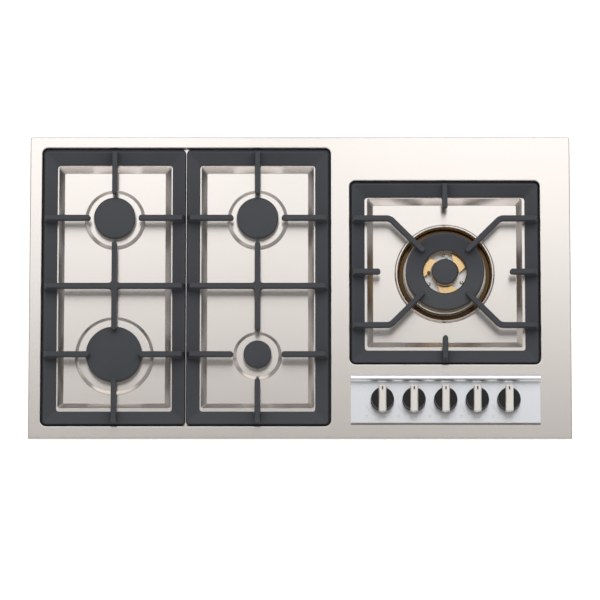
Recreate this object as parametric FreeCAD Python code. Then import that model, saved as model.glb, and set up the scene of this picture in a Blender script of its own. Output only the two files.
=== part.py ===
"""Built-in gas cooktop, 900 x 510 mm, with five burners, three cast pan supports and five knobs.

Frame: X to the right, Y to the back, Z up; the origin is the centre of the bottom tray's underside.
All sizes are millimetres. Heights marked "over the deck" are measured from the panel's flat top.
"""
import FreeCAD
import Part
import math
import os
from collections import namedtuple

V = FreeCAD.Vector

# ---------------------------------------------------------------- top panel
PANEL_W = 900.0         # outer width, left to right
PANEL_D = 510.0         # outer depth, front to back
SHEET = 1.0             # stainless sheet of the panel
DECK = 58.0             # the panel's flat top above the tray's underside
RIM_H = 4.5             # height of the turned-down rim
RIM_BEND = 2.6          # outside radius of the rim's bend
PANEL_CORNER = 3.0      # plan radius of the panel's corners
LEFT_MARGIN = 21.0      # panel edge to the left recess
LAND = 31.8             # between the two recesses
RIGHT_MARGIN = 51.5     # wok recess to panel edge
LEFT_SHARE = 0.603      # the left recess's share of the width that is left
BACK_MARGIN = 19.5      # left recess to the back and front edges
FRONT_MARGIN = 22.5
WOK_BACK_MARGIN = 75.0  # wok recess to the back edge
CONTROLS_D = 126.0      # room for the controls, in front of the wok recess
RECESS_DEPTH = 8.0      # the ledge that carries the pan supports, under the deck
RECESS_CORNER = 9.5     # plan radius of the recesses' corners
RECESS_BEND = 2.0       # inside bend between recess wall and ledge
LIP_BEND = 1.8          # rounding where the deck turns down into a recess
WELL_DEPTH = 8.0        # well floor under the ledge
WELL_CORNER = 2.5       # plan radius of the wells' mitred corners
WELL_RUN = 9.8          # plan width of a well's sloping wall
WELL_INSET_X = 2.0      # a well's edge inside the window of the support over it
WELL_INSET_Y = 4.2
SEAT_DEPTH = 3.5        # burner seat under the well floor
SEAT_SLOPE = 6.8        # plan width of the slanted ring round a burner seat

# ---------------------------------------------------------------- pan supports
FRAME_BAND = 21.5       # plan width of a support's cast frame
FRAME_CORNER = 5.5
FRAME_HIGH = 2.6        # outer edge of the frame over the deck
FRAME_LOW = -3.0        # inner edge of the frame over the deck
FRAME_EDGE = 1.6        # rounded-off outer edge of the frame
SIDE_GAP = 4.0          # left and right play of the two left supports
MIDDLE_GAP = 3.0        # between the two left supports
DEPTH_GAP = 4.6         # front and back play
WOK_GAP = 3.3           # play of the wok support
SUPPORT_SHIFT = -1.8    # the frames stand this far forward on their feet
FOOT_PLAY = 0.8         # spreading foot of a frame to the recess's wall
FOOT_H = 1.5            # rubber feet between ledge and frame
FOOT_R = 4.5
LEG_INSET = 3.0         # start of a finger's bar behind its leaning leg
FINGER_TOP = 22.0       # pan plane over the deck
FINGER_DEPTH = 11.4
FINGER_W = 7.8          # width on top
FINGER_ROOT_W = 9.6     # width underneath: the casting draft
FINGER_BEND = 15.0      # centre-line radius of a bent finger
TIP_GAP = 81.0          # clear width between opposite finger tips over a burner
LEG_LEAN = 5.0          # how far the outer end of a finger leans inwards
LEG_ARC = 9.0           # radius under a finger where it comes out of the frame
CROSS_FILLET = 6.0      # plan fillet where two bars cross
WOK_TIP_X = 38.0        # wok support: centres of the bent fingers' round tips, from the burner axis
WOK_TIP_Y = 36.7
WOK_ROW_Y = 89.8        # rows of the bent fingers, from the burner axis
WOK_MID_TIP = 107.8     # tips of the short straight fingers, from the burner axis

# ---------------------------------------------------------------- burners
# cap radius, flame slots, seat ring radius, throat radius, collar radius
Burner = namedtuple("Burner", "cap slots ring throat collar")
SEMI_RAPID = Burner(cap=34.5, slots=28, ring=49.8, throat=14.0, collar=22.0)
RAPID = Burner(cap=46.4, slots=36, ring=65.0, throat=18.0, collar=31.0)
AUXILIARY = Burner(cap=23.0, slots=20, ring=40.0, throat=9.0, collar=14.0)
CAP_H = 6.3             # cap top over the crown
CAP_EDGE = 1.5          # rounded rim of a cap
CROWN_LIP = 0.5         # flame shelf, past the cap's edge
CROWN_INSET = 3.5       # crown wall inside the cap's edge
CROWN_WALL = 4.0
SLOT_W = 1.8
SLOT_H = 3.6
THROAT_H = 9.0          # throat under the crown's base
CUP_WALL = 5.0
SLIP = 0.4              # clearance of pieces that lift off
PROBE_INSET = 6.5       # spark plugs and thermocouples stand inside the cap's edge
SPARK_ANGLE = -90.0
PROBE_ANGLE = 60.0
PROBE_R = 2.5
PORT_WALL = 2.5         # wall of a gas port round its pipe

WOK_RING = 81.0         # wok burner: pressed ring in the well floor
WOK_RING_SLOPE = 2.6
WOK_RING_DEPTH = 2.5
WOK_HOLE_R = 77.6       # hole in the panel
WOK_CAP_R = 65.5
WOK_CAP_HOLE = 35.8
WOK_CAP_TOP = 8.6       # over the deck
WOK_CAP_H = 7.0
WOK_CAP_DISH = 4.4      # fall of its top towards the hole
WOK_SLOTS = 60
WOK_SLOT_H = 8.0
WOK_LIP_R = 68.2        # aluminium lip outside the brass crown
WOK_LIP_DROP = 14.0     # lip under the deck
WOK_FLOOR_DROP = 11.0   # floor of the gap round the burner, under the pressed ring
WOK_HUB_DROP = 19.0     # floor inside the ring burner, under the deck
WOK_CUP_R = 44.0
WOK_HUB_R = 19.0
WOK_HUB_TOP = -8.4      # over the deck
WOK_MIXER_R = 11.4
WOK_INNER_R = 21.4      # centre cap
WOK_INNER_TOP = 7.0
WOK_INNER_SLOTS = 16
WOK_ARMS = 3
WOK_ARM_START = 18.0    # degrees from +X
WOK_ARM_SWEEP = 54.0
WOK_ARM_SWIRL = -16.0
WOK_SPARK = (2.6, 25.6)     # from the wok burner's axis
WOK_PROBE = (-26.0, 0.5)

# ---------------------------------------------------------------- controls
PLATE_INSET = 1.2       # plate's ends inside the wok recess's width
PLATE_MARGIN = 25.9     # panel's front edge to the plate
PLATE_D = 72.4          # flat part of the plate
KNOB_SHARE = 0.544      # knob axes, as a share of the flat part from its front
PLATE_T = 2.0
GUARD_H = 16.0          # heat guard behind the knobs, over the plate
GUARD_TILT = 72.0       # degrees from the plate
GUARD_BEND = 5.0
KNOB_COUNT = 5
KNOB_R = 18.3
KNOB_FOOT_R = 19.4
KNOB_H = 18.0
KNOB_EDGE = 1.0
KNOB_LIFT = 4.2         # gap under the knob, for its push
BAR_W = 13.0
BAR_L = 43.2
BAR_RISE = 4.0          # bar over the black body
BAR_DEPTH = 9.0
BAR_BEVEL = 1.4
INDEX_W = 2.1           # slot that shows the knob's position
INDEX_L = 5.5
INDEX_D = 2.4
INDEX_INSET = 2.2       # slot to the bar's end
SPINDLE_R = 3.0
SPINDLE_HOLE = 7.0
RUN_FIT = 0.05          # radial running clearance of plug and spindle
TAP_R = 11.0
PLUG_R = 7.5
PLUG_TAPER = 2.0
PLUG_L = 19.0

# ---------------------------------------------------------------- tray and gas train
RIM_LAND = 14.0         # panel edge to the worktop's opening
TRAY_GAP = 3.0          # tray to worktop opening, each side
TRAY_T = 0.8
TRAY_CORNER = 4.0
POCKET_W = 102.0        # rear right corner, raised for the gas inlet
POCKET_D = 56.0
POCKET_H = 22.0
INLET_INSET_X = 20.0    # inlet's axis inside the tray's walls
INLET_INSET_Y = 28.0
INLET_R = 10.48         # half-inch parallel pipe thread
INLET_L = 14.0
NUT_R = 15.0
NUT_H = 3.0
GLAND_SPACING = 58.0
GLAND_R = 11.0
GLAND_BORE = 4.0
RAIL_H = 11.2
RAIL_T = 1.5
RAIL_W = 40.0
RAIL_FOOT = 10.0
RAIL_FORWARD = 22.0      # gas rail in front of the tap axes
PIPE_R = 4.0
PIPE_Z = 22.0
PIPE_BEND = 14.0
MANIFOLD_R = 7.0
MANIFOLD_Z = 36.0
MANIFOLD_BEND = 22.0
LEAD_R = 1.6
LEAD_Z = 15.0
LEAD_BEND = 5.0
SCREW_R = 2.0
SCREW_HEAD_R = 3.5
SCREW_HEAD_H = 1.6
CLAMP_W = 26.0
CLAMP_T = 1.2
CLAMP_REACH = 9.0       # from the tray's wall, under the worktop
WORKTOP_T = 30.0
SEAL_INSET = 3.0        # seal's outer edge inside the panel's
SEAL_GAP = 1.5          # seal to the worktop's opening
MODULE_W = 64.0
MODULE_D = 36.0
MODULE_H = 26.0
MODULE_WALL = 10.0      # module to the tray's back wall
MODULE_EAR = 10.0
TERMINAL_W = 34.0
TERMINAL_D = 22.0
TERMINAL_H = 12.0
TERMINAL_GAP = 11.0     # terminal to the pocket

# ---------------------------------------------------------------- places worked out from the sizes above
RECESS_W = PANEL_W - LEFT_MARGIN - LAND - RIGHT_MARGIN
LEFT_W = LEFT_SHARE * RECESS_W
LEFT_D = PANEL_D - BACK_MARGIN - FRONT_MARGIN
LEFT_X = LEFT_MARGIN + (LEFT_W - PANEL_W) / 2
LEFT_Y = (FRONT_MARGIN - BACK_MARGIN) / 2
WOK_W = RECESS_W - LEFT_W
WOK_D = PANEL_D - WOK_BACK_MARGIN - CONTROLS_D
WOK_X = (PANEL_W - WOK_W) / 2 - RIGHT_MARGIN
WOK_Y = (CONTROLS_D - WOK_BACK_MARGIN) / 2
SUPPORT_W = (LEFT_W - 2 * SIDE_GAP - MIDDLE_GAP) / 2
SUPPORT_D = LEFT_D - 2 * DEPTH_GAP
WOK_SUPPORT_W = WOK_W - 2 * WOK_GAP
WOK_SUPPORT_D = WOK_D - 2 * WOK_GAP
WELL_W = SUPPORT_W - 2 * (FRAME_BAND + WELL_INSET_X)
WELL_D = SUPPORT_D - 2 * (FRAME_BAND + WELL_INSET_Y)
WOK_WELL_W = WOK_SUPPORT_W - 2 * (FRAME_BAND + WELL_INSET_Y)
WOK_WELL_D = WOK_SUPPORT_D - 2 * (FRAME_BAND + WELL_INSET_Y)
BURNER_DX = (SUPPORT_W + MIDDLE_GAP) / 2
BURNER_DY = SUPPORT_D / 4
LEDGE = DECK - RECESS_DEPTH
WELL = LEDGE - WELL_DEPTH
SEAT = WELL - SEAT_DEPTH
CROWN_BASE = SEAT + SLIP
WOK_SEAT = WELL - WOK_RING_DEPTH
WOK_FLOOR = WOK_SEAT - WOK_FLOOR_DROP
WOK_DISH_R = WOK_HOLE_R - SLIP
FRAME_FOOT = LEDGE + FOOT_H
PLATE_TOP = DECK + PLATE_T
PLATE_W = WOK_W - 2 * PLATE_INSET
PLATE_FRONT = PLATE_MARGIN - PANEL_D / 2
PLATE_BACK = PLATE_FRONT + PLATE_D
KNOB_Y = PLATE_FRONT + KNOB_SHARE * PLATE_D
KNOB_PITCH = PLATE_W / (KNOB_COUNT + 1)
KNOB_X = [WOK_X + KNOB_PITCH * (i - (KNOB_COUNT - 1) / 2) for i in range(KNOB_COUNT)]
KNOB_BASE = PLATE_TOP + KNOB_LIFT
KNOB_TOP = KNOB_BASE + KNOB_H
CUTOUT_W = PANEL_W - 2 * RIM_LAND
CUTOUT_D = PANEL_D - 2 * RIM_LAND
TRAY_W = CUTOUT_W - 2 * TRAY_GAP
TRAY_D = CUTOUT_D - 2 * TRAY_GAP
INLET_X = TRAY_W / 2 - INLET_INSET_X
INLET_Y = TRAY_D / 2 - INLET_INSET_Y
GLAND_X = INLET_X - GLAND_SPACING
RAIL_TOP = TRAY_T + RAIL_H
PLUG_Z = RAIL_TOP + 10.0
CLAMP_TOP = DECK - RIM_H - WORKTOP_T
CLAMP_SCREW_Z = CLAMP_TOP / 2
MANIFOLD_Y = KNOB_Y - RAIL_FORWARD
MODULE_X = LEFT_X + (LEFT_W + LAND) / 2
MODULE_Y = TRAY_D / 2 - MODULE_WALL - MODULE_D / 2
MODULE_FRONT = MODULE_Y - MODULE_D / 2
TERMINAL_X = TRAY_W / 2 - POCKET_W - TERMINAL_GAP - TERMINAL_W
BURNERS = {
    "rear_left": (SEMI_RAPID, LEFT_X - BURNER_DX, LEFT_Y + BURNER_DY),
    "rear_centre": (SEMI_RAPID, LEFT_X + BURNER_DX, LEFT_Y + BURNER_DY),
    "front_left": (RAPID, LEFT_X - BURNER_DX, LEFT_Y - BURNER_DY),
    "front_centre": (AUXILIARY, LEFT_X + BURNER_DX, LEFT_Y - BURNER_DY),
}


# ---------------------------------------------------------------- forms
def box(x0, x1, y0, y1, z0, z1):
    return Part.makeBox(x1 - x0, y1 - y0, z1 - z0, V(x0, y0, z0))


def rod(x, y, z0, z1, r):
    return Part.makeCylinder(r, z1 - z0, V(x, y, z0))


def rod_along(start, direction, length, r):
    return Part.makeCylinder(r, length, V(*start), V(*direction))


def rounded(cx, cy, w, d, r, z):
    """Closed wire of a rectangle with rounded corners, at height z."""
    hx, hy = w / 2 - r, d / 2 - r
    k = r * math.sqrt(0.5)
    edges = []
    for sx, sy, turn in ((1, 1, 0), (-1, 1, 1), (-1, -1, 2), (1, -1, 3)):
        px, py = cx + sx * hx, cy + sy * hy
        a, b = ((r, 0), (0, r)) if sx * sy > 0 else ((0, r), (-r, 0))
        if turn in (2, 3):
            a, b = (-a[0], -a[1]), (-b[0], -b[1])
        corner = Part.Arc(V(px + a[0], py + a[1], z), V(px + sx * k, py + sy * k, z),
                          V(px + b[0], py + b[1], z))
        edges.append(corner.toShape())
    loop = []
    for i, corner in enumerate(edges):
        following = edges[(i + 1) % 4]
        loop.append(corner)
        loop.append(Part.makeLine(corner.Vertexes[-1].Point, following.Vertexes[0].Point))
    return Part.Wire(loop)


def block(cx, cy, w, d, r, z0, z1):
    """Upright prism with rounded corners."""
    return Part.Face(rounded(cx, cy, w, d, r, z0)).extrude(V(0, 0, z1 - z0))


def taper(cx, cy, low, high, z0, z1):
    """Loft between two rounded rectangles; low and high are (width, depth, corner)."""
    return Part.makeLoft([rounded(cx, cy, *low, z0), rounded(cx, cy, *high, z1)], True, True)


def turned(points, x=0.0, y=0.0):
    """Solid of revolution about the upright axis through x, y; points are (radius, height)."""
    outline = Part.makePolygon([V(r, 0, z) for r, z in points + points[:1]])
    solid = Part.Face(outline).revolve(V(0, 0, 0), V(0, 0, 1), 360)
    solid.translate(V(x, y, 0))
    return solid


def cut_all(body, tools):
    return body.cut(tools) if tools else body


def fuse_all(pieces):
    return pieces[0].fuse(pieces[1:]).removeSplitter() if len(pieces) > 1 else pieces[0]


def level_edges(solid, z, inside=0.0):
    """Edges that lie at height z, at least `inside` from the panel's outer edge."""
    found = []
    for edge in solid.Edges:
        b = edge.BoundBox
        level = abs(b.ZMin - z) < 1e-4 and abs(b.ZMax - z) < 1e-4
        reach = max(abs(b.XMin), abs(b.XMax)) < PANEL_W / 2 - inside
        if level and reach:
            found.append(edge)
    return found


def tube(points, r, bend):
    """Round bar along straight runs that are joined by tangent arcs of radius bend."""
    nodes = [V(*p) for p in points]
    edges = []
    start = nodes[0]
    for before, corner, after in zip(nodes, nodes[1:], nodes[2:]):
        way_in = (corner - before).normalize()
        way_out = (after - corner).normalize()
        half = way_in.getAngle(way_out) / 2
        back = bend * math.tan(half)
        a = corner - way_in * back
        b = corner + way_out * back
        centre = corner + (way_out - way_in).normalize() * (bend / math.cos(half))
        middle = centre + (corner - centre).normalize() * bend
        edges.append(Part.makeLine(start, a))
        edges.append(Part.Arc(a, middle, b).toShape())
        start = b
    edges.append(Part.makeLine(start, nodes[-1]))
    path = Part.Wire(edges)
    section = Part.Wire(Part.makeCircle(r, nodes[0], nodes[1] - nodes[0]))
    return path.makePipeShell([section], True, False)


def save(name, shape):
    solids = shape.Solids
    result = solids[0] if len(solids) == 1 else Part.makeCompound(solids)
    result.exportStep(os.path.join("parts", name + ".step"))


# ---------------------------------------------------------------- top panel
def recess_form(cx, cy, w, d, grow):
    """Space of one pressed recess; grow makes the outside of its sheet."""
    floor = LEDGE - grow
    form = block(cx, cy, w + 2 * grow, d + 2 * grow, RECESS_CORNER + grow, floor, DECK + (0 if grow else 1))
    return form.makeFillet(RECESS_BEND + grow, level_edges(form, floor))


def well_form(cx, cy, w, d, grow):
    """Space of one hipped well under the ledge; grow makes the outside of its sheet."""
    top_grow = grow * math.hypot(WELL_RUN, WELL_DEPTH) / WELL_DEPTH
    low_grow = top_grow - grow * WELL_RUN / WELL_DEPTH
    low = (w - 2 * WELL_RUN + 2 * low_grow, d - 2 * WELL_RUN + 2 * low_grow, WELL_CORNER)
    high = (w + 2 * top_grow, d + 2 * top_grow, WELL_CORNER)
    return taper(cx, cy, low, high, WELL - grow, LEDGE)


def seat_form(x, y, ring, slope, depth, grow):
    """Space of the round burner seat pressed into a well floor."""
    return turned([(0, WELL), (ring + grow, WELL), (ring + grow, WELL - 0.01),
                   (ring - slope + grow, WELL - depth - grow), (0, WELL - depth - grow)], x, y)


def probe_places(burner, x, y):
    """Axes of the spark plug and the thermocouple beside a small burner."""
    reach = burner.cap - PROBE_INSET
    for angle in (SPARK_ANGLE, PROBE_ANGLE):
        a = math.radians(angle)
        yield x + reach * math.cos(a), y + reach * math.sin(a)


def top_panel():
    slab = block(0, 0, PANEL_W, PANEL_D, PANEL_CORNER, DECK - RIM_H, DECK)
    slab = slab.makeFillet(RIM_BEND, level_edges(slab, DECK, -1))
    inside = block(0, 0, PANEL_W - 2 * SHEET, PANEL_D - 2 * SHEET, PANEL_CORNER - SHEET,
                   DECK - RIM_H - 1, DECK - SHEET)
    inside = inside.makeFillet(RIM_BEND - SHEET, level_edges(inside, DECK - SHEET, -1))
    recesses = [(LEFT_X, LEFT_Y, LEFT_W, LEFT_D), (WOK_X, WOK_Y, WOK_W, WOK_D)]
    wells = [(LEFT_X - BURNER_DX, LEFT_Y, WELL_W, WELL_D), (LEFT_X + BURNER_DX, LEFT_Y, WELL_W, WELL_D),
             (WOK_X, WOK_Y, WOK_WELL_W, WOK_WELL_D)]
    seats = [(x, y, b.ring, SEAT_SLOPE, SEAT_DEPTH) for b, x, y in BURNERS.values()]
    seats.append((WOK_X, WOK_Y, WOK_RING, WOK_RING_SLOPE, WOK_RING_DEPTH))
    outside = [recess_form(*r, SHEET) for r in recesses]
    outside += [well_form(*w, SHEET) for w in wells]
    outside += [seat_form(*s, SHEET) for s in seats]
    spaces = [recess_form(*r, 0) for r in recesses]
    spaces += [well_form(*w, 0) for w in wells]
    spaces += [seat_form(*s, 0) for s in seats]
    below = SEAT - 2 * SHEET
    for b, x, y in BURNERS.values():
        spaces.append(rod(x, y, below, WELL, b.collar + SLIP))
        spaces += [rod(px, py, below, WELL, PROBE_R + 0.5) for px, py in probe_places(b, x, y)]
    spaces.append(rod(WOK_X, WOK_Y, below, WELL, WOK_DISH_R + SLIP))
    spaces += [rod(x, KNOB_Y, DECK - 2 * SHEET, DECK + 1, SPINDLE_HOLE) for x in KNOB_X]
    panel = slab.cut(inside).fuse(outside).cut(spaces).removeSplitter()
    return panel.makeFillet(LIP_BEND, [e for e in level_edges(panel, DECK, 12) if e.Length > 9.0
                                       and abs(e.BoundBox.YMin - KNOB_Y) > 2 * SPINDLE_HOLE])


def plate_profile(z0):
    """Side view of the control plate: bevelled front, flat top, and the heat guard turned up behind."""
    tilt = math.radians(GUARD_TILT)
    top = z0 + PLATE_T
    back = GUARD_BEND * math.tan(tilt / 2)
    centre = (PLATE_BACK - back, top + GUARD_BEND)

    def round_point(radius, angle):
        return V(0, centre[0] + radius * math.sin(angle), centre[1] - radius * math.cos(angle))

    inner, outer = GUARD_BEND, GUARD_BEND + PLATE_T
    run = GUARD_H / math.sin(tilt) - back
    up = V(0, math.cos(tilt), math.sin(tilt)) * run
    inner_end, outer_end = round_point(inner, tilt), round_point(outer, tilt)
    front_low, front_high = V(0, PLATE_FRONT, z0), V(0, PLATE_FRONT + PLATE_T, top)
    return Part.Wire([
        Part.makeLine(front_low, front_high),
        Part.makeLine(front_high, round_point(inner, 0)),
        Part.Arc(round_point(inner, 0), round_point(inner, tilt / 2), inner_end).toShape(),
        Part.makeLine(inner_end, inner_end + up),
        Part.makeLine(inner_end + up, outer_end + up),
        Part.makeLine(outer_end + up, outer_end),
        Part.Arc(outer_end, round_point(outer, tilt / 2), round_point(outer, 0)).toShape(),
        Part.makeLine(round_point(outer, 0), front_low),
    ])


def control_plate():
    face = Part.Face(plate_profile(DECK))
    face.translate(V(WOK_X - PLATE_W / 2, 0, 0))
    plate = face.extrude(V(PLATE_W, 0, 0))
    return plate.cut([rod(x, KNOB_Y, DECK - 1, PLATE_TOP + 1, SPINDLE_HOLE) for x in KNOB_X])


# ---------------------------------------------------------------- pan supports
def support_frame(cx, cy, w, d, foot):
    """Cast frame on a foot that spreads to the recess's walls; its top falls towards the window.

    foot is the foot's centre, width and depth in plan.
    """
    low, high = DECK + FRAME_LOW, DECK + FRAME_HIGH
    neck = low - FRAME_EDGE
    outer = block(cx, cy, w, d, FRAME_CORNER, neck, high)
    outer = outer.makeFillet(FRAME_EDGE, level_edges(outer, high))
    spread = Part.makeLoft([rounded(*foot, RECESS_CORNER - FOOT_PLAY, FRAME_FOOT),
                            rounded(cx, cy, w, d, FRAME_CORNER, neck)], True, True)
    window = (w - 2 * FRAME_BAND, d - 2 * FRAME_BAND, FRAME_CORNER - 1)
    dip = taper(cx, cy, window, (w - 3 * FRAME_EDGE, d - 3 * FRAME_EDGE, FRAME_CORNER - 1), low, high)
    return outer.fuse(spread).cut([dip, block(cx, cy, *window, FRAME_FOOT - 1, low)]).removeSplitter()


def finger_side(points, aside, z):
    """One long side of a finger in plan: its path moved sideways, with round bends."""
    path = [V(x, y, z) for x, y in points]
    ways = [(b - a).normalize() for a, b in zip(path, path[1:])]
    moves = [V(-way.y, way.x, 0) * aside for way in ways]
    edges, start = [], path[0] + moves[0]
    for corner, way_in, way_out, move_in, move_out in zip(path[1:], ways, ways[1:], moves, moves[1:]):
        half = way_in.getAngle(way_out) / 2
        back = FINGER_BEND * math.tan(half)
        inwards = (way_out - way_in).normalize()
        centre = corner + inwards * (FINGER_BEND / math.cos(half))
        a, b = corner - way_in * back + move_in, corner + way_out * back + move_out
        edges.append(Part.makeLine(start, a))
        edges.append(Part.Arc(a, centre - inwards * (a - centre).Length, b).toShape())
        start = b
    return edges + [Part.makeLine(start, path[-1] + moves[-1])]


def finger_end(a, b, tip, near, round_end, half, z):
    """End of a finger in plan: an arc from a to b, or a straight line."""
    if not round_end:
        return Part.makeLine(a, b)
    away = V(tip[0] - near[0], tip[1] - near[1], 0).normalize()
    return Part.Arc(a, V(*tip, z) + away * half, b).toShape()


def finger(points, round_start, round_end):
    """Drafted bar along points in plan; an end is round, or square where it runs into the frame."""
    def outline(width, z):
        half = width / 2
        left, right = finger_side(points, half, z), finger_side(points, -half, z)
        start = (right[0].Vertexes[0].Point, left[0].Vertexes[0].Point)
        end = (left[-1].Vertexes[-1].Point, right[-1].Vertexes[-1].Point)
        return Part.Wire(left + [finger_end(*end, points[-1], points[-2], round_end, half, z)] + right[::-1]
                         + [finger_end(*start, points[0], points[1], round_start, half, z)])

    return Part.makeLoft([outline(FINGER_ROOT_W, DECK + FINGER_TOP - FINGER_DEPTH),
                          outline(FINGER_W, DECK + FINGER_TOP)], True, True)


def leg(x, y, way):
    """Root of a finger on the frame's outer edge at x, y; way is the unit direction inwards."""
    top = DECK + FINGER_TOP
    under = top - FINGER_DEPTH
    foot = FRAME_FOOT + 1.0
    reach = FRAME_BAND - 2.0
    bulge = LEG_ARC * (1 - math.sqrt(0.5))
    side = Part.Wire([
        Part.makeLine(V(0, 0, foot), V(0, 0, DECK + FRAME_HIGH)),
        Part.makeLine(V(0, 0, DECK + FRAME_HIGH), V(LEG_LEAN, 0, top)),
        Part.makeLine(V(LEG_LEAN, 0, top), V(reach + LEG_ARC, 0, top)),
        Part.makeLine(V(reach + LEG_ARC, 0, top), V(reach + LEG_ARC, 0, under)),
        Part.Arc(V(reach + LEG_ARC, 0, under), V(reach + bulge, 0, under - bulge),
                 V(reach, 0, under - LEG_ARC)).toShape(),
        Part.makeLine(V(reach, 0, under - LEG_ARC), V(reach, 0, foot)),
        Part.makeLine(V(reach, 0, foot), V(0, 0, foot)),
    ])
    slope = (FINGER_ROOT_W - FINGER_W) / FINGER_DEPTH
    low_half = (FINGER_W + slope * (top - foot)) / 2
    draft = Part.Face(Part.makePolygon([
        V(0, -low_half, foot), V(0, low_half, foot), V(0, FINGER_W / 2, top),
        V(0, -FINGER_W / 2, top), V(0, -low_half, foot)])).extrude(V(reach + LEG_ARC, 0, 0))
    slab = Part.Face(side).extrude(V(0, 2 * low_half, 0))
    slab.translate(V(0, -low_half, 0))
    root = slab.common(draft)
    root.rotate(V(0, 0, 0), V(0, 0, 1), math.degrees(math.atan2(way[1], way[0])))
    root.translate(V(x, y, 0))
    return root


def footed(points, way):
    """One finger that starts on the frame with its leg and runs to a round tip."""
    x, y = points[0]
    inset = LEG_LEAN + LEG_INSET
    start = (x + way[0] * inset, y + way[1] * inset)
    return [leg(x, y, way), finger([start] + points[1:], False, True)]


def crossing_fillet(bars, x, y):
    """Rounds the four inner corners where two bars cross at x, y."""
    near = FINGER_ROOT_W
    corners = [e for e in bars.Edges
               if abs(e.BoundBox.ZLength - FINGER_DEPTH) < 0.01
               and abs(e.BoundBox.Center.x - x) < near and abs(e.BoundBox.Center.y - y) < near]
    return bars.makeFillet(CROSS_FILLET, corners)


def left_support(side):
    """Support over a rear and a front burner: frame, six fingers and a middle cross."""
    cx, cy = LEFT_X + side * BURNER_DX, LEFT_Y + SUPPORT_SHIFT
    w, d = SUPPORT_W, SUPPORT_D
    spread, near = SIDE_GAP - FOOT_PLAY, (MIDDLE_GAP - FOOT_PLAY) / 2
    foot = (cx + side * (spread - near) / 2, LEFT_Y, w + spread + near, LEFT_D - 2 * FOOT_PLAY)
    x0, x1 = cx - w / 2, cx + w / 2
    tip = (TIP_GAP + FINGER_W) / 2
    inset = LEG_LEAN + LEG_INSET
    cross = fuse_all([finger([(x0 + inset, cy), (x1 - inset, cy)], False, False),
                      finger([(cx, cy - BURNER_DY + tip), (cx, cy + BURNER_DY - tip)], True, True)])
    pieces = [crossing_fillet(cross, cx, cy), leg(x0, cy, (1, 0)), leg(x1, cy, (-1, 0))]
    for end in (-1, 1):
        row = cy + end * BURNER_DY
        pieces += footed([(cx, cy + end * d / 2), (cx, row + end * tip)], (0, -end))
        pieces += footed([(x0, row), (cx - tip, row)], (1, 0))
        pieces += footed([(x1, row), (cx + tip, row)], (-1, 0))
    return fuse_all([support_frame(cx, cy, w, d, foot)] + pieces)


def wok_support():
    """Support round the wok burner: frame, four short straight fingers and four bent ones."""
    cx, cy = WOK_X, WOK_Y + SUPPORT_SHIFT
    w, d = WOK_SUPPORT_W, WOK_SUPPORT_D
    foot = (WOK_X, WOK_Y, WOK_W - 2 * FOOT_PLAY, WOK_D - 2 * FOOT_PLAY)
    tip = WOK_MID_TIP + FINGER_W / 2
    pieces = []
    for side in (-1, 1):
        pieces += footed([(cx, cy + side * d / 2), (cx, cy + side * tip)], (0, -side))
        pieces += footed([(cx + side * w / 2, cy), (cx + side * tip, cy)], (-side, 0))
        for row in (-1, 1):
            bend_x = WOK_TIP_X + WOK_ROW_Y - WOK_TIP_Y
            route = [(cx + side * w / 2, cy + row * WOK_ROW_Y), (cx + side * bend_x, cy + row * WOK_ROW_Y),
                     (cx + side * WOK_TIP_X, cy + row * WOK_TIP_Y)]
            pieces += footed(route, (-side, 0))
    return fuse_all([support_frame(cx, cy, w, d, foot)] + pieces)


def support_feet(cx, cy, w, d):
    """Four rubber feet under the corners of a frame."""
    dx, dy = (w - FRAME_BAND) / 2, (d - FRAME_BAND) / 2
    return Part.makeCompound([rod(cx + sx * dx, cy + sy * dy, LEDGE, FRAME_FOOT, FOOT_R)
                              for sx in (-1, 1) for sy in (-1, 1)])


# ---------------------------------------------------------------- burners
def crown(b, x, y):
    """Flame spreader of a small burner: throat, base, flame shelf and a slotted wall."""
    wall = b.cap - CROWN_INSET
    base, top = CROWN_BASE, DECK
    lip = b.cap + CROWN_LIP
    body = turned([
        (b.throat - 2, base - THROAT_H), (b.throat, base - THROAT_H), (b.throat, base), (wall + 1.5, base),
        (wall + 1.5, base + 3), (wall - 1, base + 6), (wall - 1, top - 7), (lip, top - 5.8),
        (lip, top - 4.8), (wall, top - 4.8), (wall, top), (wall - CROWN_WALL, top),
        (wall - CROWN_WALL, base + 3), (b.throat - 2, base + 3)], x, y)
    slots = []
    for i in range(b.slots):
        slot = box(wall - CROWN_WALL - 1, wall + 1, -SLOT_W / 2, SLOT_W / 2, top - SLOT_H, top + 1)
        slot.rotate(V(0, 0, 0), V(0, 0, 1), 360.0 * (i + 0.5) / b.slots)
        slot.translate(V(x, y, 0))
        slots.append(slot)
    notches = [rod(px, py, base - 1, top + 1, PROBE_R + 0.8) for px, py in probe_places(b, x, y)]
    return cut_all(body, slots + notches)


def cap(b, x, y):
    """Enamelled burner cap: domed disc with a centring ring inside the crown."""
    ring = b.cap - CROWN_INSET - CROWN_WALL - SLIP
    z = DECK
    rim = z + CAP_H - 0.4
    return turned([
        (0, z + 1.8), (ring - 2.5, z + 1.8), (ring - 2.5, z - 2.0), (ring, z - 2.0), (ring, z),
        (b.cap - 0.8, z), (b.cap, z + 0.8), (b.cap, rim - CAP_EDGE),
        (b.cap - 0.3 * CAP_EDGE, rim - 0.3 * CAP_EDGE), (b.cap - CAP_EDGE, rim), (b.cap / 2, rim + 0.3), (0, z + CAP_H)], x, y)


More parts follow.
